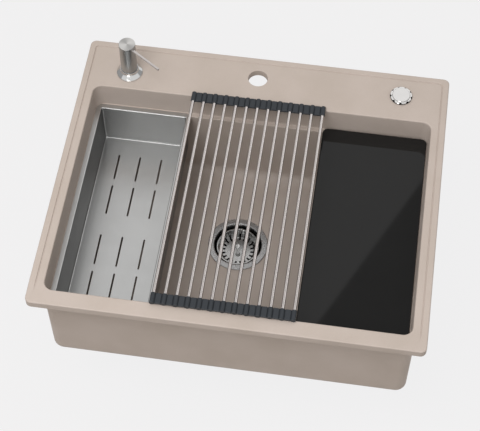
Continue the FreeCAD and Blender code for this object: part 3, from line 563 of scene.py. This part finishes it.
finishes = {
    "stone_composite": stone_composite(),
    "polished_steel": polished("polished_steel", srgb(216, 216, 215), 0.05, 0.12),
    "strainer_sheet": polished("strainer_sheet", srgb(206, 206, 205), 0.1, 0.2),
    "strainer_cup": polished("strainer_cup", srgb(196, 196, 196), 0.22, 0.32, CUP_PAINTED_SHADE_BELOW),
    "chrome_trim": polished("chrome_trim", CHROME, 0.05, 0.12),
    "notched_ring": polished("notched_ring", CHROME, 0.05, 0.12, RING_PAINTED_SHADE_BELOW, RING_FADE),
    "brushed_steel": lathe_turned("brushed_steel", TURNED_FACE, TURNED_WALL_PAINTED_SHADE, DISPENSER, 0.24, 0.36,
                                  BRUSHED_DEPTH, anisotropic=0.85),
    # The colander's walls are painted darker as shade by these shares.
    "brushed_sheet": brushed("brushed_sheet", srgb(203, 203, 202), SHEET_STRETCH, 0.24, 0.36,
                             BRUSHED_DEPTH, painted_wall_shades=(0.62, 0.45)),
    "mat_steel": brushed("mat_steel", srgb(212, 205, 202), ROD_STRETCH, 0.1, 0.16, SATIN_DEPTH),
    "spring_steel": polished("spring_steel", srgb(188, 186, 182), 0.2, 0.34),
    "brass_fittings": polished("brass_fittings", srgb(214, 178, 110), 0.18, 0.34),
    "black_glass": black_glass(),
    "grey_silicone": moulded("grey_silicone", srgb(38, 43, 49), 0.55, 0.00003, dust=0.012),
    "black_rubber": moulded("black_rubber", srgb(28, 28, 29), 0.6, 0.00004, dust=0.02),
    "grey_plastic": moulded("grey_plastic", srgb(120, 122, 124), 0.45, 0.00003),
    "white_plastic": moulded("white_plastic", srgb(226, 226, 222), 0.4, 0.00003),
}
print("finishes", len(finishes))

# %% [markdown]
# ## Surfaces from formulas
#
# Most pieces are one of three kinds of surface: a profile turned about an upright axis, a stack of
# rounded rectangles, or a section carried along a line. Each is worked out as a grid of points, rows by
# columns, and then becomes quads. Points that fall together are joined, so a row may close to a line or a
# single point.

# %% From a grid of points to a mesh
SHARP_ANGLE = math.radians(30)
JOIN_WITHIN = 1e-7


def finished(mesh):
    """The mesh with coincident points joined, faces outwards, and smooth shading up to sharp edges."""
    work = bmesh.new()
    work.from_mesh(mesh)
    bmesh.ops.remove_doubles(work, verts=work.verts, dist=JOIN_WITHIN)
    bmesh.ops.recalc_face_normals(work, faces=work.faces)
    work.to_mesh(mesh)
    work.free()
    mesh.shade_smooth()
    mesh.set_sharp_from_angle(angle=SHARP_ANGLE)
    return mesh


def grid_mesh(name, points, wrap_rows=False, wrap_columns=True):
    """A mesh of quads over points in millimetres, an array of the shape rows, columns, 3."""
    rows, columns = points.shape[:2]
    index = np.arange(rows * columns).reshape(rows, columns)
    if wrap_rows:
        index = np.vstack([index, index[:1]])
    if wrap_columns:
        index = np.hstack([index, index[:, :1]])
    quads = np.stack([index[:-1, :-1], index[:-1, 1:], index[1:, 1:], index[1:, :-1]], axis=-1)
    mesh = bpy.data.meshes.new(name)
    mesh.from_pydata((points.reshape(-1, 3) * MM).tolist(), [], quads.reshape(-1, 4).tolist())
    return finished(mesh)

# %% [markdown]
# A corner is rounded by an arc, written as a rational quadratic. With A the arc's start, B the sharp
# corner, C the arc's end and w the cosine of half the turn, the point at t, from 0 to 1, is ((1 - t)^2 A
# + 2 w t (1 - t) B + t^2 C) / ((1 - t)^2 + 2 w t (1 - t) + t^2). A weight is all it takes to make the
# curve an exact circle. The same line works on any list of numbers, so it can round off a list of whole
# rectangles as well as a list of points.

# %% Rounded lines and turned pieces
def rounded(corners, radii, plane=(0, 1), steps=6):
    """A closed line through corners, each rounded to its radius. The radii are measured in two of the
    columns, the plane; any other columns follow along."""
    here = np.array(corners, dtype=float)
    flat = list(plane)
    back = np.roll(here, 1, axis=0) - here
    ahead = np.roll(here, -1, axis=0) - here
    back /= np.linalg.norm(back[:, flat], axis=1, keepdims=True)
    ahead /= np.linalg.norm(ahead[:, flat], axis=1, keepdims=True)
    cosine = np.clip(np.sum(back[:, flat] * ahead[:, flat], axis=1), -1, 1)
    half_turn = (np.pi - np.arccos(cosine))[:, None] / 2
    reach = np.array(radii, dtype=float)[:, None] * np.tan(half_turn)
    t = np.linspace(0, 1, steps + 1)[:, None, None]
    first, last = (1 - t) ** 2, t ** 2
    middle = 2 * np.cos(half_turn) * t * (1 - t)
    arcs = first * (here + back * reach) + middle * here + last * (here + ahead * reach)
    arcs /= first + middle + last
    return arcs.transpose(1, 0, 2).reshape(-1, here.shape[1])


def turned_points(corners, sides=96, steps=6):
    """A profile of (radius, z) or (radius, z, fillet) corners, spun about the Z axis: a point (r, z)
    becomes the circle (r cos a, r sin a, z)."""
    table = np.array([(*corner, 0.0)[:3] for corner in corners])
    line = rounded(table[:, :2], table[:, 2], steps=steps)
    angle = np.linspace(0, 2 * np.pi, sides, endpoint=False)
    radius, z = line[:, :1], line[:, 1:]
    return np.stack([radius * np.cos(angle), radius * np.sin(angle), z + 0 * angle], axis=-1)


def turned(name, corners, centre, sides=96, steps=6):
    """A turned piece about the upright line at centre, left open where its profile starts on the axis."""
    points = turned_points(corners, sides, steps) + np.array([*centre, 0.0])
    return grid_mesh(name, points, wrap_rows=corners[0][0] > 0)


square = [(0, 0), (10, 0), (10, 10), (0, 10)]
print("arc check", rounded(square, [2, 0, 0, 0], steps=2)[:3].round(3).tolist())

# %% [markdown]
# The sink, the colander and the glass are all stacks of rounded rectangles. One ring holds four quarter
# circles and four straight sides, always with the same number of points, so rings of any size join up.
# Working with the plan as complex numbers, x + iy, makes a quarter circle a single exponential.

# %% Stacks of rounded rectangles
def station(rect, margin, corner, z, lift=0.0):
    """A rectangle (x0, x1, y0, y1) moved in by margin, its corner radius, its height and its lift."""
    x0, x1, y0, y1 = rect
    return (x0 + margin, x1 - margin, y0 + margin, y1 - margin, corner, z, lift)


def core(rect, z):
    """The rectangle shrunk to its middle line, which closes a floor or a top."""
    x0, x1, y0, y1 = rect
    return station(rect, min(x1 - x0, y1 - y0) / 2, 0.0, z)


def rings(stations, side, arc=8):
    """One ring of points for each station: side points along a straight, arc + 1 round a corner. A corner's
    points are its centre plus radius times e to the power of i times the angle."""
    x0, x1, y0, y1, radius, z = (column[:, None] for column in np.array(stations)[:, :6].T)
    turn = np.linspace(0, np.pi / 2, arc + 1)
    run = np.linspace(0, 1, side + 1)[1:-1]
    centres = (x1 - radius + 1j * (y0 + radius), x1 - radius + 1j * (y1 - radius),
               x0 + radius + 1j * (y1 - radius), x0 + radius + 1j * (y0 + radius))
    arcs = [centre + radius * np.exp(1j * (turn + (k - 1) * np.pi / 2)) for k, centre in enumerate(centres)]
    parts = []
    for here, following in zip(arcs, arcs[1:] + arcs[:1]):
        parts += [here, here[:, -1:] + (following[:, :1] - here[:, -1:]) * run]
    plan = np.hstack(parts)
    return np.stack([plan.real, plan.imag, z + 0 * plan.real], axis=-1)


def slab(name, rect, corner, z0, z1, edge=0.0):
    """A plate with rounded corners and, where edge is given, rounded edges."""
    outline = [core(rect, z1), station(rect, 0, corner, z1), station(rect, 0, corner, z0), core(rect, z0)]
    return grid_mesh(name, rings(rounded(outline, [0, edge, edge, 0], plane=(0, 5)), side=4, arc=12))


print("ring", rings([station((0, 10, 0, 20), 0, 2, 0)], side=4).shape)

# %% [markdown]
# Holes and slots are cut with Blender's exact boolean. Each piece is put on its CAD body where it has
# one, in the finish of the record's slot or one of its own, and the CAD nodes that it replaces are hidden.

# %% Cutting, joining and placing
def joined(meshes):
    """One mesh from several."""
    work = bmesh.new()
    for mesh in meshes:
        work.from_mesh(mesh)
    whole = bpy.data.meshes.new(meshes[0].name)
    work.to_mesh(whole)
    work.free()
    return whole


def spun(mesh, count, centre):
    """Copies of a mesh, evenly turned round the upright line at centre."""
    axis = Matrix.Translation(Vector((*centre, 0.0)) * MM)
    copies = []
    for index in range(count):
        turned_copy = mesh.copy()
        turn = Matrix.Rotation(2 * math.pi * index / count, 4, "Z")
        turned_copy.transform(axis @ turn @ axis.inverted())
        copies.append(turned_copy)
    return joined(copies)


def cut(mesh, cutter):
    """The mesh minus the cutter."""
    body = bpy.data.objects.new("body", mesh)
    tool = bpy.data.objects.new("tool", cutter)
    for helper in (body, tool):
        scene.collection.objects.link(helper)
    boolean = body.modifiers.new("cut", "BOOLEAN")
    boolean.object = tool
    boolean.operation = "DIFFERENCE"
    boolean.solver = "EXACT"
    result = bpy.data.meshes.new_from_object(body.evaluated_get(bpy.context.evaluated_depsgraph_get()))
    for helper in (body, tool):
        bpy.data.objects.remove(helper)
    return finished(result)


body_of = {node: body for body, nodes in frame["record"]["behaviour"]["bodies"].items() for node in nodes}
slot_of = {part["node"]: part["material_slot"] for part in frame["record"]["subparts"]}


def add_piece(name, mesh, slot, body=None, nodes=(), finish=None):
    """An object in the finish of its slot, or in one of its own, which stands for CAD nodes and rides on
    their body where one is given."""
    mesh.materials.clear()
    mesh.materials.append(finishes[finish or slot])
    piece = bpy.data.objects.new(name, mesh)
    scene.collection.objects.link(piece)
    shading = piece.modifiers.new("shading", "WEIGHTED_NORMAL")
    shading.keep_sharp = True
    if body:
        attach(piece, body)
    if nodes:
        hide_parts(*nodes)
    return piece


def dress(node, mesh, finish=None):
    """A new mesh in place of one CAD node, on that node's body and in its finish."""
    add_piece(node + "_surface", mesh, slot_of[node], body_of[node], [node], finish)
    print(node, "faces", len(mesh.polygons))

# %% [markdown]
# ## The sink
#
# The sink is one moulding. Its outline, seen as a section, runs from the rim's underside over the rounded
# rim, down the raised border to the deck, over the opening's edge, down to the ledge, down the bowl to
# the drain, and back up outside. Every corner of that section is one rounded rectangle here, and the
# section's fillets come from rounding the list of rectangles. The raised border fades out towards the
# front, so its share of height is carried along as lift. A fine groove at its foot fades out with it.

# %% The sink's moulding
RIM = (-325.0, 325.0, -275.0, 275.0)
OPENING = (-300.0, 300.0, -247.0, 175.0)
DECK_Z = 15.0
BORDER_RISE = 1.2
BORDER_GROOVE = 0.9
BORDER_FADE = (-261.0, -231.0)
LEDGE_Z = -37.0
BOWL_FLOOR_Z = -197.0
BOWL_UNDER_Z = -203.5
LOWER_OUTSIDE = (-308.0, 308.0, -244.5, 177.5)
DRAIN = (-18.5, 9.0)
TAP_HOLE = (-13.7, 230.2)
CONTROL = (242.3, 226.5)
border_z = DECK_Z + BORDER_RISE
groove_z = DECK_Z - BORDER_GROOVE
groove_lift = -BORDER_GROOVE / BORDER_RISE

# Each corner of the section: its rectangle and its fillet.
SINK_SECTION = [
    (station(OPENING, -9, 18, 0), 3.0),
    (station(OPENING, -15, 24, 0), 0.0),
    (station(RIM, 0, 10, 0), 0.6),
    (station(RIM, 0, 10, border_z, 1), 2.5),
    (station(RIM, 10.3, 6.95, border_z, 1), 0.6),
    (station(RIM, 11.3, 5.95, groove_z, groove_lift), 0.3),
    (station(RIM, 12.5, 5.75, groove_z, groove_lift), 0.3),
    (station(RIM, 12.9, 5.75, DECK_Z), 0.3),
    (station(RIM, 14, 5.75, DECK_Z), 0.0),
    (station(OPENING, -6, 22, DECK_Z), 0.0),
    (station(OPENING, 0, 16, DECK_Z), 2.5),
    (station(OPENING, 0, 16, LEDGE_Z), 1.5),
    (station(OPENING, 8, 9, LEDGE_Z), 1.5),
    (station(OPENING, 8, 9, BOWL_FLOOR_Z), 20.0),
    (station(OPENING, 38, 9, BOWL_FLOOR_Z), 0.0),
    (station(LOWER_OUTSIDE, 34, 1.5, BOWL_UNDER_Z), 0.0),
    (station(LOWER_OUTSIDE, 0, 18, BOWL_UNDER_Z), 16.0),
    (station(LOWER_OUTSIDE, 0, 18, LEDGE_Z - 8), 3.0),
    (station(OPENING, -9, 18, LEDGE_Z), 3.0),
]
STEPS = 7
BEFORE_DRAIN = 15                       # rectangles from the rim's underside to the bowl's floor
DRAIN_HOLE_R = 45.0
DECK_HOLE_R = 17.5
DECK_HOLE_EDGE = 0.8
RECESS = (-305.0, 305.0, 150.0, 262.0)
RECESS_Z = (-5.0, 2.0)
RECESS_TO_BOWL = 9.2


def circle_towards(ring, centre, radius, z):
    """A circle at centre with one point towards each point of the ring."""
    away = ring[:, :2] - np.array(centre)
    away /= np.linalg.norm(away, axis=1, keepdims=True)
    return np.column_stack([centre + radius * away, np.full(len(away), z)])


def sink_mesh():
    """The section's rounded rectangles as rings, with the drain's hole let in between floor and
    underside; then z falls by rise * lift * (1 - s), where s is the smooth step of y across the border's
    fade."""
    corners, fillets = zip(*SINK_SECTION)
    stations = rounded(corners, fillets, plane=(0, 5), steps=STEPS)
    points = rings(stations, side=64)
    fade = np.clip((points[..., 1] - BORDER_FADE[0]) / (BORDER_FADE[1] - BORDER_FADE[0]), 0, 1)
    fade = fade * fade * (3 - 2 * fade)
    points[..., 2] -= BORDER_RISE * stations[:, 6:7] * (1 - fade)
    split = BEFORE_DRAIN * (STEPS + 1)
    hole_top = circle_towards(points[split - 1], DRAIN, DRAIN_HOLE_R, BOWL_FLOOR_Z)
    hole_foot = circle_towards(points[split], DRAIN, DRAIN_HOLE_R, BOWL_UNDER_Z)
    points = np.concatenate([points[:split], [hole_top, hole_foot], points[split:]])
    return grid_mesh("sink", points, wrap_rows=True)


def deck_hole(centre):
    """The space of a deck hole, with the rounded edge that it leaves on the deck."""
    just_above = DECK_Z + 0.01
    return turned("hole", [
        (0, -10), (DECK_HOLE_R, -10), (DECK_HOLE_R, just_above, DECK_HOLE_EDGE), (20, just_above),
        (20, 20), (0, 20)], centre)


def recess():
    """The shallow space under the back deck, outside the bowl, for the nuts of the deck's fittings."""
    space = slab("recess", RECESS, 8.0, *RECESS_Z)
    bowl_wall = station(OPENING, -RECESS_TO_BOWL, 0, 0)[:4]
    return cut(space, slab("bowl", bowl_wall, 18.2, RECESS_Z[0] - 1, RECESS_Z[1] + 1))


holes = joined([deck_hole(centre) for centre in (TAP_HOLE, DISPENSER, CONTROL)])
dress("sink_basin", cut(cut(sink_mesh(), recess()), holes))

# %% [markdown]
# ## Colander and glass board
#
# The colander is folded from one sheet. A flange all round lies on the ledge, the walls stand nearly
# square to it, and the floor has three columns of slots. The folds are small fillets, and they matter:
# each one catches a bright line of light in the photograph. The board is a plate of black glass with
# eased edges.

# %% Colander
TRAY = (-298.0, -125.5, -245.2, 171.8)
TRAY_FLANGE = 9.0
FLANGE_SLOPE = 0.5
SHEET = 1.2
FLANGE_TOP_Z = LEDGE_Z + 0.1 + SHEET
TRAY_FLOOR_Z = -125.0
SLOT_COLUMNS = (-255.5, -216.5, -177.0)
SLOT_ROWS = ((-178.0, -124.0), (-110.0, -48.0), (-4.0, 58.0), (72.0, 126.0))
SLOT_WIDTH = 3.2


def colander_mesh():
    """From the middle of the floor out over the walls and flange, and back underneath to the middle."""
    outer = TRAY_FLANGE - SHEET
    section = [
        (core(TRAY, TRAY_FLOOR_Z), 0.0),
        (station(TRAY, TRAY_FLANGE, 3.0, TRAY_FLOOR_Z), 2.2),
        (station(TRAY, TRAY_FLANGE, 3.0, FLANGE_TOP_Z), 2.0),
        (station(TRAY, 0, 12.0, FLANGE_TOP_Z + FLANGE_SLOPE), 0.35),
        (station(TRAY, 0, 12.0, FLANGE_TOP_Z - SHEET), 0.35),
        (station(TRAY, outer, 4.2, FLANGE_TOP_Z - SHEET), 0.3),
        (station(TRAY, outer, 4.2, TRAY_FLOOR_Z - SHEET), 2.6),
        (core(TRAY, TRAY_FLOOR_Z - SHEET), 0.0),
    ]
    corners, fillets = zip(*section)
    return grid_mesh("colander", rings(rounded(corners, fillets, plane=(0, 5)), side=24, arc=10))


slots = []
for x in SLOT_COLUMNS:
    for low, high in SLOT_ROWS:
        rect = (x - SLOT_WIDTH / 2, x + SLOT_WIDTH / 2, low, high)
        slots.append(slab("slot", rect, SLOT_WIDTH / 2 - 0.001, TRAY_FLOOR_Z - 5, TRAY_FLOOR_Z + 5))
dress("colander", cut(colander_mesh(), joined(slots)))

# %% Glass board
BOARD = (112.0, 297.0, -245.2, 171.8)
BOARD_UNDER_Z = LEDGE_Z + 0.1
BOARD_THICKNESS = 6.0
BOARD_CORNER = 10.0
BOARD_EDGE = 0.8
board = slab("board", BOARD, BOARD_CORNER, BOARD_UNDER_Z, BOARD_UNDER_Z + BOARD_THICKNESS, BOARD_EDGE)
dress("glass_board", board)

# %% [markdown]
# ## The roll-up mat
#
# Thirteen steel rods lie across the rim, held at both ends by a strip of dark silicone that swells over
# each rod and is flat between them, with a shallow groove beside each swelling. The rods are plain turned
# pieces on their own bodies. The strip has to bend when the mat is rolled up, so it is made in twelve
# lengths from rod to rod.

# %% Mat rods
MAT_RODS = 13
MAT_PITCH = 19.1
MAT_CENTRE_X = -5.2
MAT_Z = 19.5
MAT_ROD_R = 3.0
MAT_ENDS = (-251.0, 179.0)
ROD_END = 2.0


def rod_x(index):
    """X of a rod's axis, counted from 0 at the left."""
    return MAT_CENTRE_X + (index - (MAT_RODS - 1) / 2) * MAT_PITCH


def rod_mesh(index):
    """A turned rod laid down along Y."""
    low, high = MAT_ENDS[0] + ROD_END, MAT_ENDS[1] - ROD_END
    upright = turned_points([(0, low), (MAT_ROD_R, low, 0.4), (MAT_ROD_R, high, 0.4), (0, high)], sides=40)
    return grid_mesh("rod", upright[..., [0, 2, 1]] + np.array([rod_x(index), 0.0, MAT_Z]))


for index in range(MAT_RODS):
    node = f"mat_rod_{index + 1:02d}"
    add_piece(node + "_surface", rod_mesh(index), slot_of[node], body_of[node], [node])
print("rods", MAT_RODS)

# %% Silicone strips
CAP_R = 4.2
CAP_LENGTH = 19.0
WEB_TOP = 2.2
WEB_UNDER = 1.8
GROOVE_DEPTH = 1.5
GROOVE_WIDTH = 1.5
STRIP_EDGE = 0.7
BLEND_POWER = 12.0
GROOVE_FROM_CAP = 0.2
CAP_CLEARANCE = 0.02
STRIP_STEPS = 96
CAP_STEPS = 12
EDGE_STEPS = 4


def strip_height(from_rod, web, groove):
    """Height above the rods' axes at a distance from the nearest rod: the larger of the cap's circle and
    the web, blended as the twelfth root of the sum of their twelfth powers. Beside the cap the web is
    lowered by a groove, groove * (1 - u^4) with u the distance from the groove's middle over half its
    width."""
    circle = np.sqrt(np.clip(CAP_R ** 2 - from_rod ** 2, 0, None))
    from_groove = np.abs(from_rod - CAP_R - GROOVE_FROM_CAP) / (GROOVE_WIDTH / 2)
    grooved = web - groove * np.clip(1 - from_groove ** 4, 0, None)
    return (circle ** BLEND_POWER + grooved ** BLEND_POWER) ** (1 / BLEND_POWER)


def strip_mesh(index, y0, y1):
    """The silicone from rod index to the next: for every x a rounded rectangle in the y, z plane."""
    start, end = rod_x(index), rod_x(index + 1)
    x = np.linspace(start, end, STRIP_STEPS + 1)
    from_rod = np.minimum(x - start, end - x)
    top, under = strip_height(from_rod, WEB_TOP, GROOVE_DEPTH), strip_height(from_rod, WEB_UNDER, 0.0)
    round_x = CAP_R * np.sin(np.linspace(0, np.pi / 2, CAP_STEPS + 1)[1:])
    round_height = np.sqrt(np.clip(CAP_R ** 2 - round_x ** 2, 0.0, None)) + CAP_CLEARANCE
    if index == 0:
        x = np.concatenate([start - round_x[::-1], x])
        top = np.concatenate([round_height[::-1], top])
        under = np.concatenate([round_height[::-1], under])
    if index == MAT_RODS - 2:
        x = np.concatenate([x, end + round_x])
        top = np.concatenate([top, round_height])
        under = np.concatenate([under, round_height])
    middle, half = (top - under) / 2, (top + under) / 2
    edge = np.minimum(STRIP_EDGE, 0.9 * half)
    turn = np.linspace(0, np.pi / 2, EDGE_STEPS + 1)
    angle = np.concatenate([turn, turn + np.pi / 2, turn + np.pi, turn + 3 * np.pi / 2])[:, None]
    side_y = np.repeat([1, -1, -1, 1], len(turn))[:, None]
    side_z = np.repeat([1, 1, -1, -1], len(turn))[:, None]
    y = (y0 + y1) / 2 + side_y * ((y1 - y0) / 2 - edge) + edge * np.cos(angle)
    z = MAT_Z + middle + side_z * (half - edge) + edge * np.sin(angle)
    points = np.stack([x + 0 * y, y, z], axis=-1)
    closing = points[:, [0, -1]].copy()
    closing[..., 2] = MAT_Z + middle[[0, -1]]
    points = np.concatenate([closing[:, :1], points, closing[:, 1:]], axis=1)
    return grid_mesh("strip", points, wrap_rows=True, wrap_columns=False)


def add_strip(index):
    """Both ends' silicone from one rod to the next, as one piece in place of the caps' CAD nodes."""
    front = strip_mesh(index, MAT_ENDS[0], MAT_ENDS[0] + CAP_LENGTH)
    back = strip_mesh(index, MAT_ENDS[1] - CAP_LENGTH, MAT_ENDS[1])
    nodes = [f"mat_cap_{index + 1:02d}"]
    if index == MAT_RODS - 2:
        nodes.append(f"mat_cap_{MAT_RODS:02d}")
    both = finished(joined([front, back]))
    strip = add_piece(f"mat_strip_{index + 1:02d}", both, "grey_silicone", nodes=nodes)
    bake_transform(strip)


for index in range(MAT_RODS - 1):
    add_strip(index)
print("strips", MAT_RODS - 1)

# %% [markdown]
# ## Soap dispenser
#
# The pump is a tall plain cylinder of turned steel on a low bell that spreads out over the deck, with a
# thin spout that starts just under its top. Its parts are turned, so their profiles say everything: each
# corner is a radius, a height and, where the edge is rounded, a fillet.

# %% Dispenser
HEAD_R = 14.5
HEAD_TOP = 93.0
HEAD_BOTTOM = 23.5
FLANGE_PROFILE = [
    (14.85, 15.6), (23, 15.6), (23, 17.4, 0.9), (15.9, 24, 3), (15.9, 28.5, 0.4), (14.85, 28.5, 0.3)]
HEAD_PROFILE = [
    (0, 60), (13.3, 60), (13.3, HEAD_BOTTOM), (HEAD_R, HEAD_BOTTOM, 0.4), (HEAD_R, HEAD_TOP, 0.8),
    (0, HEAD_TOP)]
dress("dispenser_flange", turned("flange", FLANGE_PROFILE, DISPENSER, sides=144, steps=12))
dress("pump_head", turned("head", HEAD_PROFILE, DISPENSER, sides=128))

SPOUT_R = 2.25
SPOUT_BORE_R = 1.4
SPOUT_ROOT = (6.0, 85.63)
SPOUT_TIP = (74.0, 81.0)
SPOUT_ANGLE = math.radians(-32)


def spout_mesh():
    """A pipe turned about Z, then laid along the line from root to tip: each point is moved by the three
    unit vectors of a frame whose third one is the pipe's direction."""
    plan = np.array([math.cos(SPOUT_ANGLE), math.sin(SPOUT_ANGLE), 0.0])
    base = np.array([*DISPENSER, 0.0])
    root = base + plan * SPOUT_ROOT[0] + np.array([0, 0, SPOUT_ROOT[1]])
    tip = base + plan * SPOUT_TIP[0] + np.array([0, 0, SPOUT_TIP[1]])
    along = (tip - root) / np.linalg.norm(tip - root)
    side = np.cross(along, [0, 0, 1])
    side /= np.linalg.norm(side)
    turn = np.stack([side, np.cross(along, side), along])
    length = np.linalg.norm(tip - root)
    profile = [(SPOUT_BORE_R, 0), (SPOUT_R, 0), (SPOUT_R, length, 0.25), (SPOUT_BORE_R, length, 0.25)]
    return grid_mesh("spout", turned_points(profile, sides=32) @ turn + root, wrap_rows=True)


dress("pump_spout", spout_mesh(), finish="mat_steel")

# %% [markdown]
# ## Push control
#
# A chromed button stands in a ring with nine finger notches. A notch is a small upright cylinder cut from
# the ring's edge.

# %% Control ring and button
RING_R = 19.5
RING_TOP = 18.4
NOTCH_R = 2.5
NOTCH_COUNT = 9
NOTCH_FOOT = RING_TOP - 1.8
RING_PROFILE = [
    (3.3, -24), (17, -24), (17, 15.6), (RING_R, 15.6), (RING_R, RING_TOP, 1.6), (15.6, RING_TOP, 0.4),
    (15.6, -22), (3.3, -22)]
BUTTON_PROFILE = [
    (0, -19), (3.2, -19), (3.2, 16.6), (13.8, 16.6), (13.8, 10.6), (15.3, 10.6), (15.3, 19.2, 0.7),
    (0, 19.2)]
notch = turned("notch", [(0, NOTCH_FOOT), (NOTCH_R, NOTCH_FOOT), (NOTCH_R, 22), (0, 22)],
               (CONTROL[0], CONTROL[1] - RING_R), sides=32)
ring = cut(turned("ring", RING_PROFILE, CONTROL, sides=144), spun(notch, NOTCH_COUNT, CONTROL))
# The ring's finish paints shade under its lip and on the floors of its notches.
dress("control_ring", ring, finish="notched_ring")
dress("control_button", turned("button", BUTTON_PROFILE, CONTROL, sides=128))

# %% [markdown]
# ## Drain
#
# The strainer's flange lies on the bowl's floor and carries on into a deep cup. The flange is polished;
# inside the cup, below it, the steel is rougher and its colour is painted nearly black as shade. A sheet
# basket sits in the cup with a gap all round, and 20 slots are cut where its wall meets its floor. A
# small mushroom-headed post stands in the middle.

# %% Strainer, basket and post
STRAINER_PROFILE = [
    (54.5, -196.2), (54.5, -194.7, 1.1), (43, -194.7, 2.2), (42.5, -203), (42.5, -238, 4), (20, -238),
    (20, -261.8), (23.9, -261.8), (23.9, -239.8), (44.3, -239.8, 4), (44.3, -196.2)]
# The cup's finish paints shade inside the drain, below the flange.
dress("strainer_body", turned("strainer", STRAINER_PROFILE, DRAIN, sides=144), finish="strainer_cup")

BASKET_TOP_Z = -202.2
BASKET_UNDER_Z = -218.2
BASKET_FLOOR_Z = BASKET_UNDER_Z + 0.9
BASKET_SLOTS = 20
SLOT_HALF = 1.7
BASKET_PROFILE = [
    (2.55, BASKET_UNDER_Z), (29.5, BASKET_UNDER_Z, 1.6), (36.9, -204), (38.8, -204, 0.8),
    (38.8, BASKET_TOP_Z, 0.8), (36, BASKET_TOP_Z, 0.8), (28.6, BASKET_FLOOR_Z, 0.8), (2.55, BASKET_FLOOR_Z)]
slot = slab("slot", (DRAIN[0] + 23, DRAIN[0] + 38.8, DRAIN[1] - SLOT_HALF, DRAIN[1] + SLOT_HALF), 0.2,
            BASKET_UNDER_Z - 1, BASKET_UNDER_Z + 8)
basket = cut(turned("basket", BASKET_PROFILE, DRAIN, sides=140), spun(slot, BASKET_SLOTS, DRAIN))
dress("strainer_basket", basket, finish="strainer_sheet")

POST_TOP_Z = -201.2
POST_NECK_Z = POST_TOP_Z - 3
POST_PROFILE = [
    (0, -289.68), (3, -289.68, 2.99), (3, -237.7), (6, -238.7), (6, -237.7), (2.5, -237.7),
    (2.5, POST_NECK_Z, 0.8), (4.5, POST_NECK_Z, 0.6), (4.5, POST_TOP_Z, 1.0), (0, POST_TOP_Z)]
dress("basket_post", turned("post", POST_PROFILE, DRAIN, sides=48))

# %% [markdown]
# ## Springs
#
# Each spring is a circle carried along a helix, on its node's body, with a mesh of its own.

# %% Springs
WIRE_SIDES = 12
TURN_STEPS = 48
END_GAP = 0.1


def coil_mesh(centre, radius, wire, z0, z1, turns):
    """At angle a the wire's centre is (r cos a, r sin a, z0 + wire + rise a); the section circle lies in
    the plane of the outward direction and the one square to both it and the helix."""
    angle = np.linspace(0, 2 * np.pi * turns, TURN_STEPS * turns + 1)
    zero, one = np.zeros_like(angle), np.ones_like(angle)
    low, high = z0 + wire + END_GAP, z1 - wire - END_GAP
    outwards = np.stack([np.cos(angle), np.sin(angle), zero], axis=-1)
    path = radius * outwards + np.array([*centre, 0.0])
    path[:, 2] = low + (high - low) * angle / angle[-1]
    rise = (high - low) / angle[-1]
    along = np.stack([-radius * np.sin(angle), radius * np.cos(angle), rise * one], axis=-1)
    along /= np.linalg.norm(along, axis=1, keepdims=True)
    across = np.cross(outwards, along)
    round_wire = np.linspace(0, 2 * np.pi, WIRE_SIDES, endpoint=False)[None, :, None]
    section = np.cos(round_wire) * outwards[:, None] + np.sin(round_wire) * across[:, None]
    points = path[:, None] + wire * section
    first, last = (np.repeat(end[:, None], WIRE_SIDES, axis=1) for end in (path[:1], path[-1:]))
    return grid_mesh("coil", np.concatenate([first, points, last]))


def add_spring(node, joint, travel, *shape):
    """A coiled spring on its node's body, with a mesh of its own. The joint and travel are not used."""
    spring = add_piece(node + "_surface", coil_mesh(*shape), slot_of[node], body_of[node], [node])
    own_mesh(spring)


# Node, joint and travel, then the coil's centre, radius, wire radius, lowest and highest z, and turns.
add_spring("control_spring", "button_press", 4.0, CONTROL, 6.5, 0.6, -22.0, 16.6, 7)
add_spring("pump_spring", "pump_press", 12.0, DISPENSER, 5.6, 0.5, -40.0, 15.0, 9)

# %% [markdown]
# ## What is under the sink
#
# Nuts, gaskets, the tailpiece and the soap bottle have exact shapes already. Their CAD meshes are loose
# triangles, so a copy is joined up and shaded smooth, and the sharp edges are found again by their angle.

# %% Fittings below
dressed = {part.name.replace("_surface", "") for part in scene.objects if part.name.endswith("_surface")}
for node in sorted(set(slot_of) - dressed):
    if not node.startswith("mat_cap"):
        dress(node, finished(frame["nodes"][node].data.copy()))

# %% [markdown]
# ## Size
#
# The visual model's box is printed; the CAD model's box was measured when the model was loaded. The
# visual model has to stay inside the CAD model's box.

# %% Size
low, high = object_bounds()
print("visual box", [round(v, 4) for v in low], [round(v, 4) for v in high])
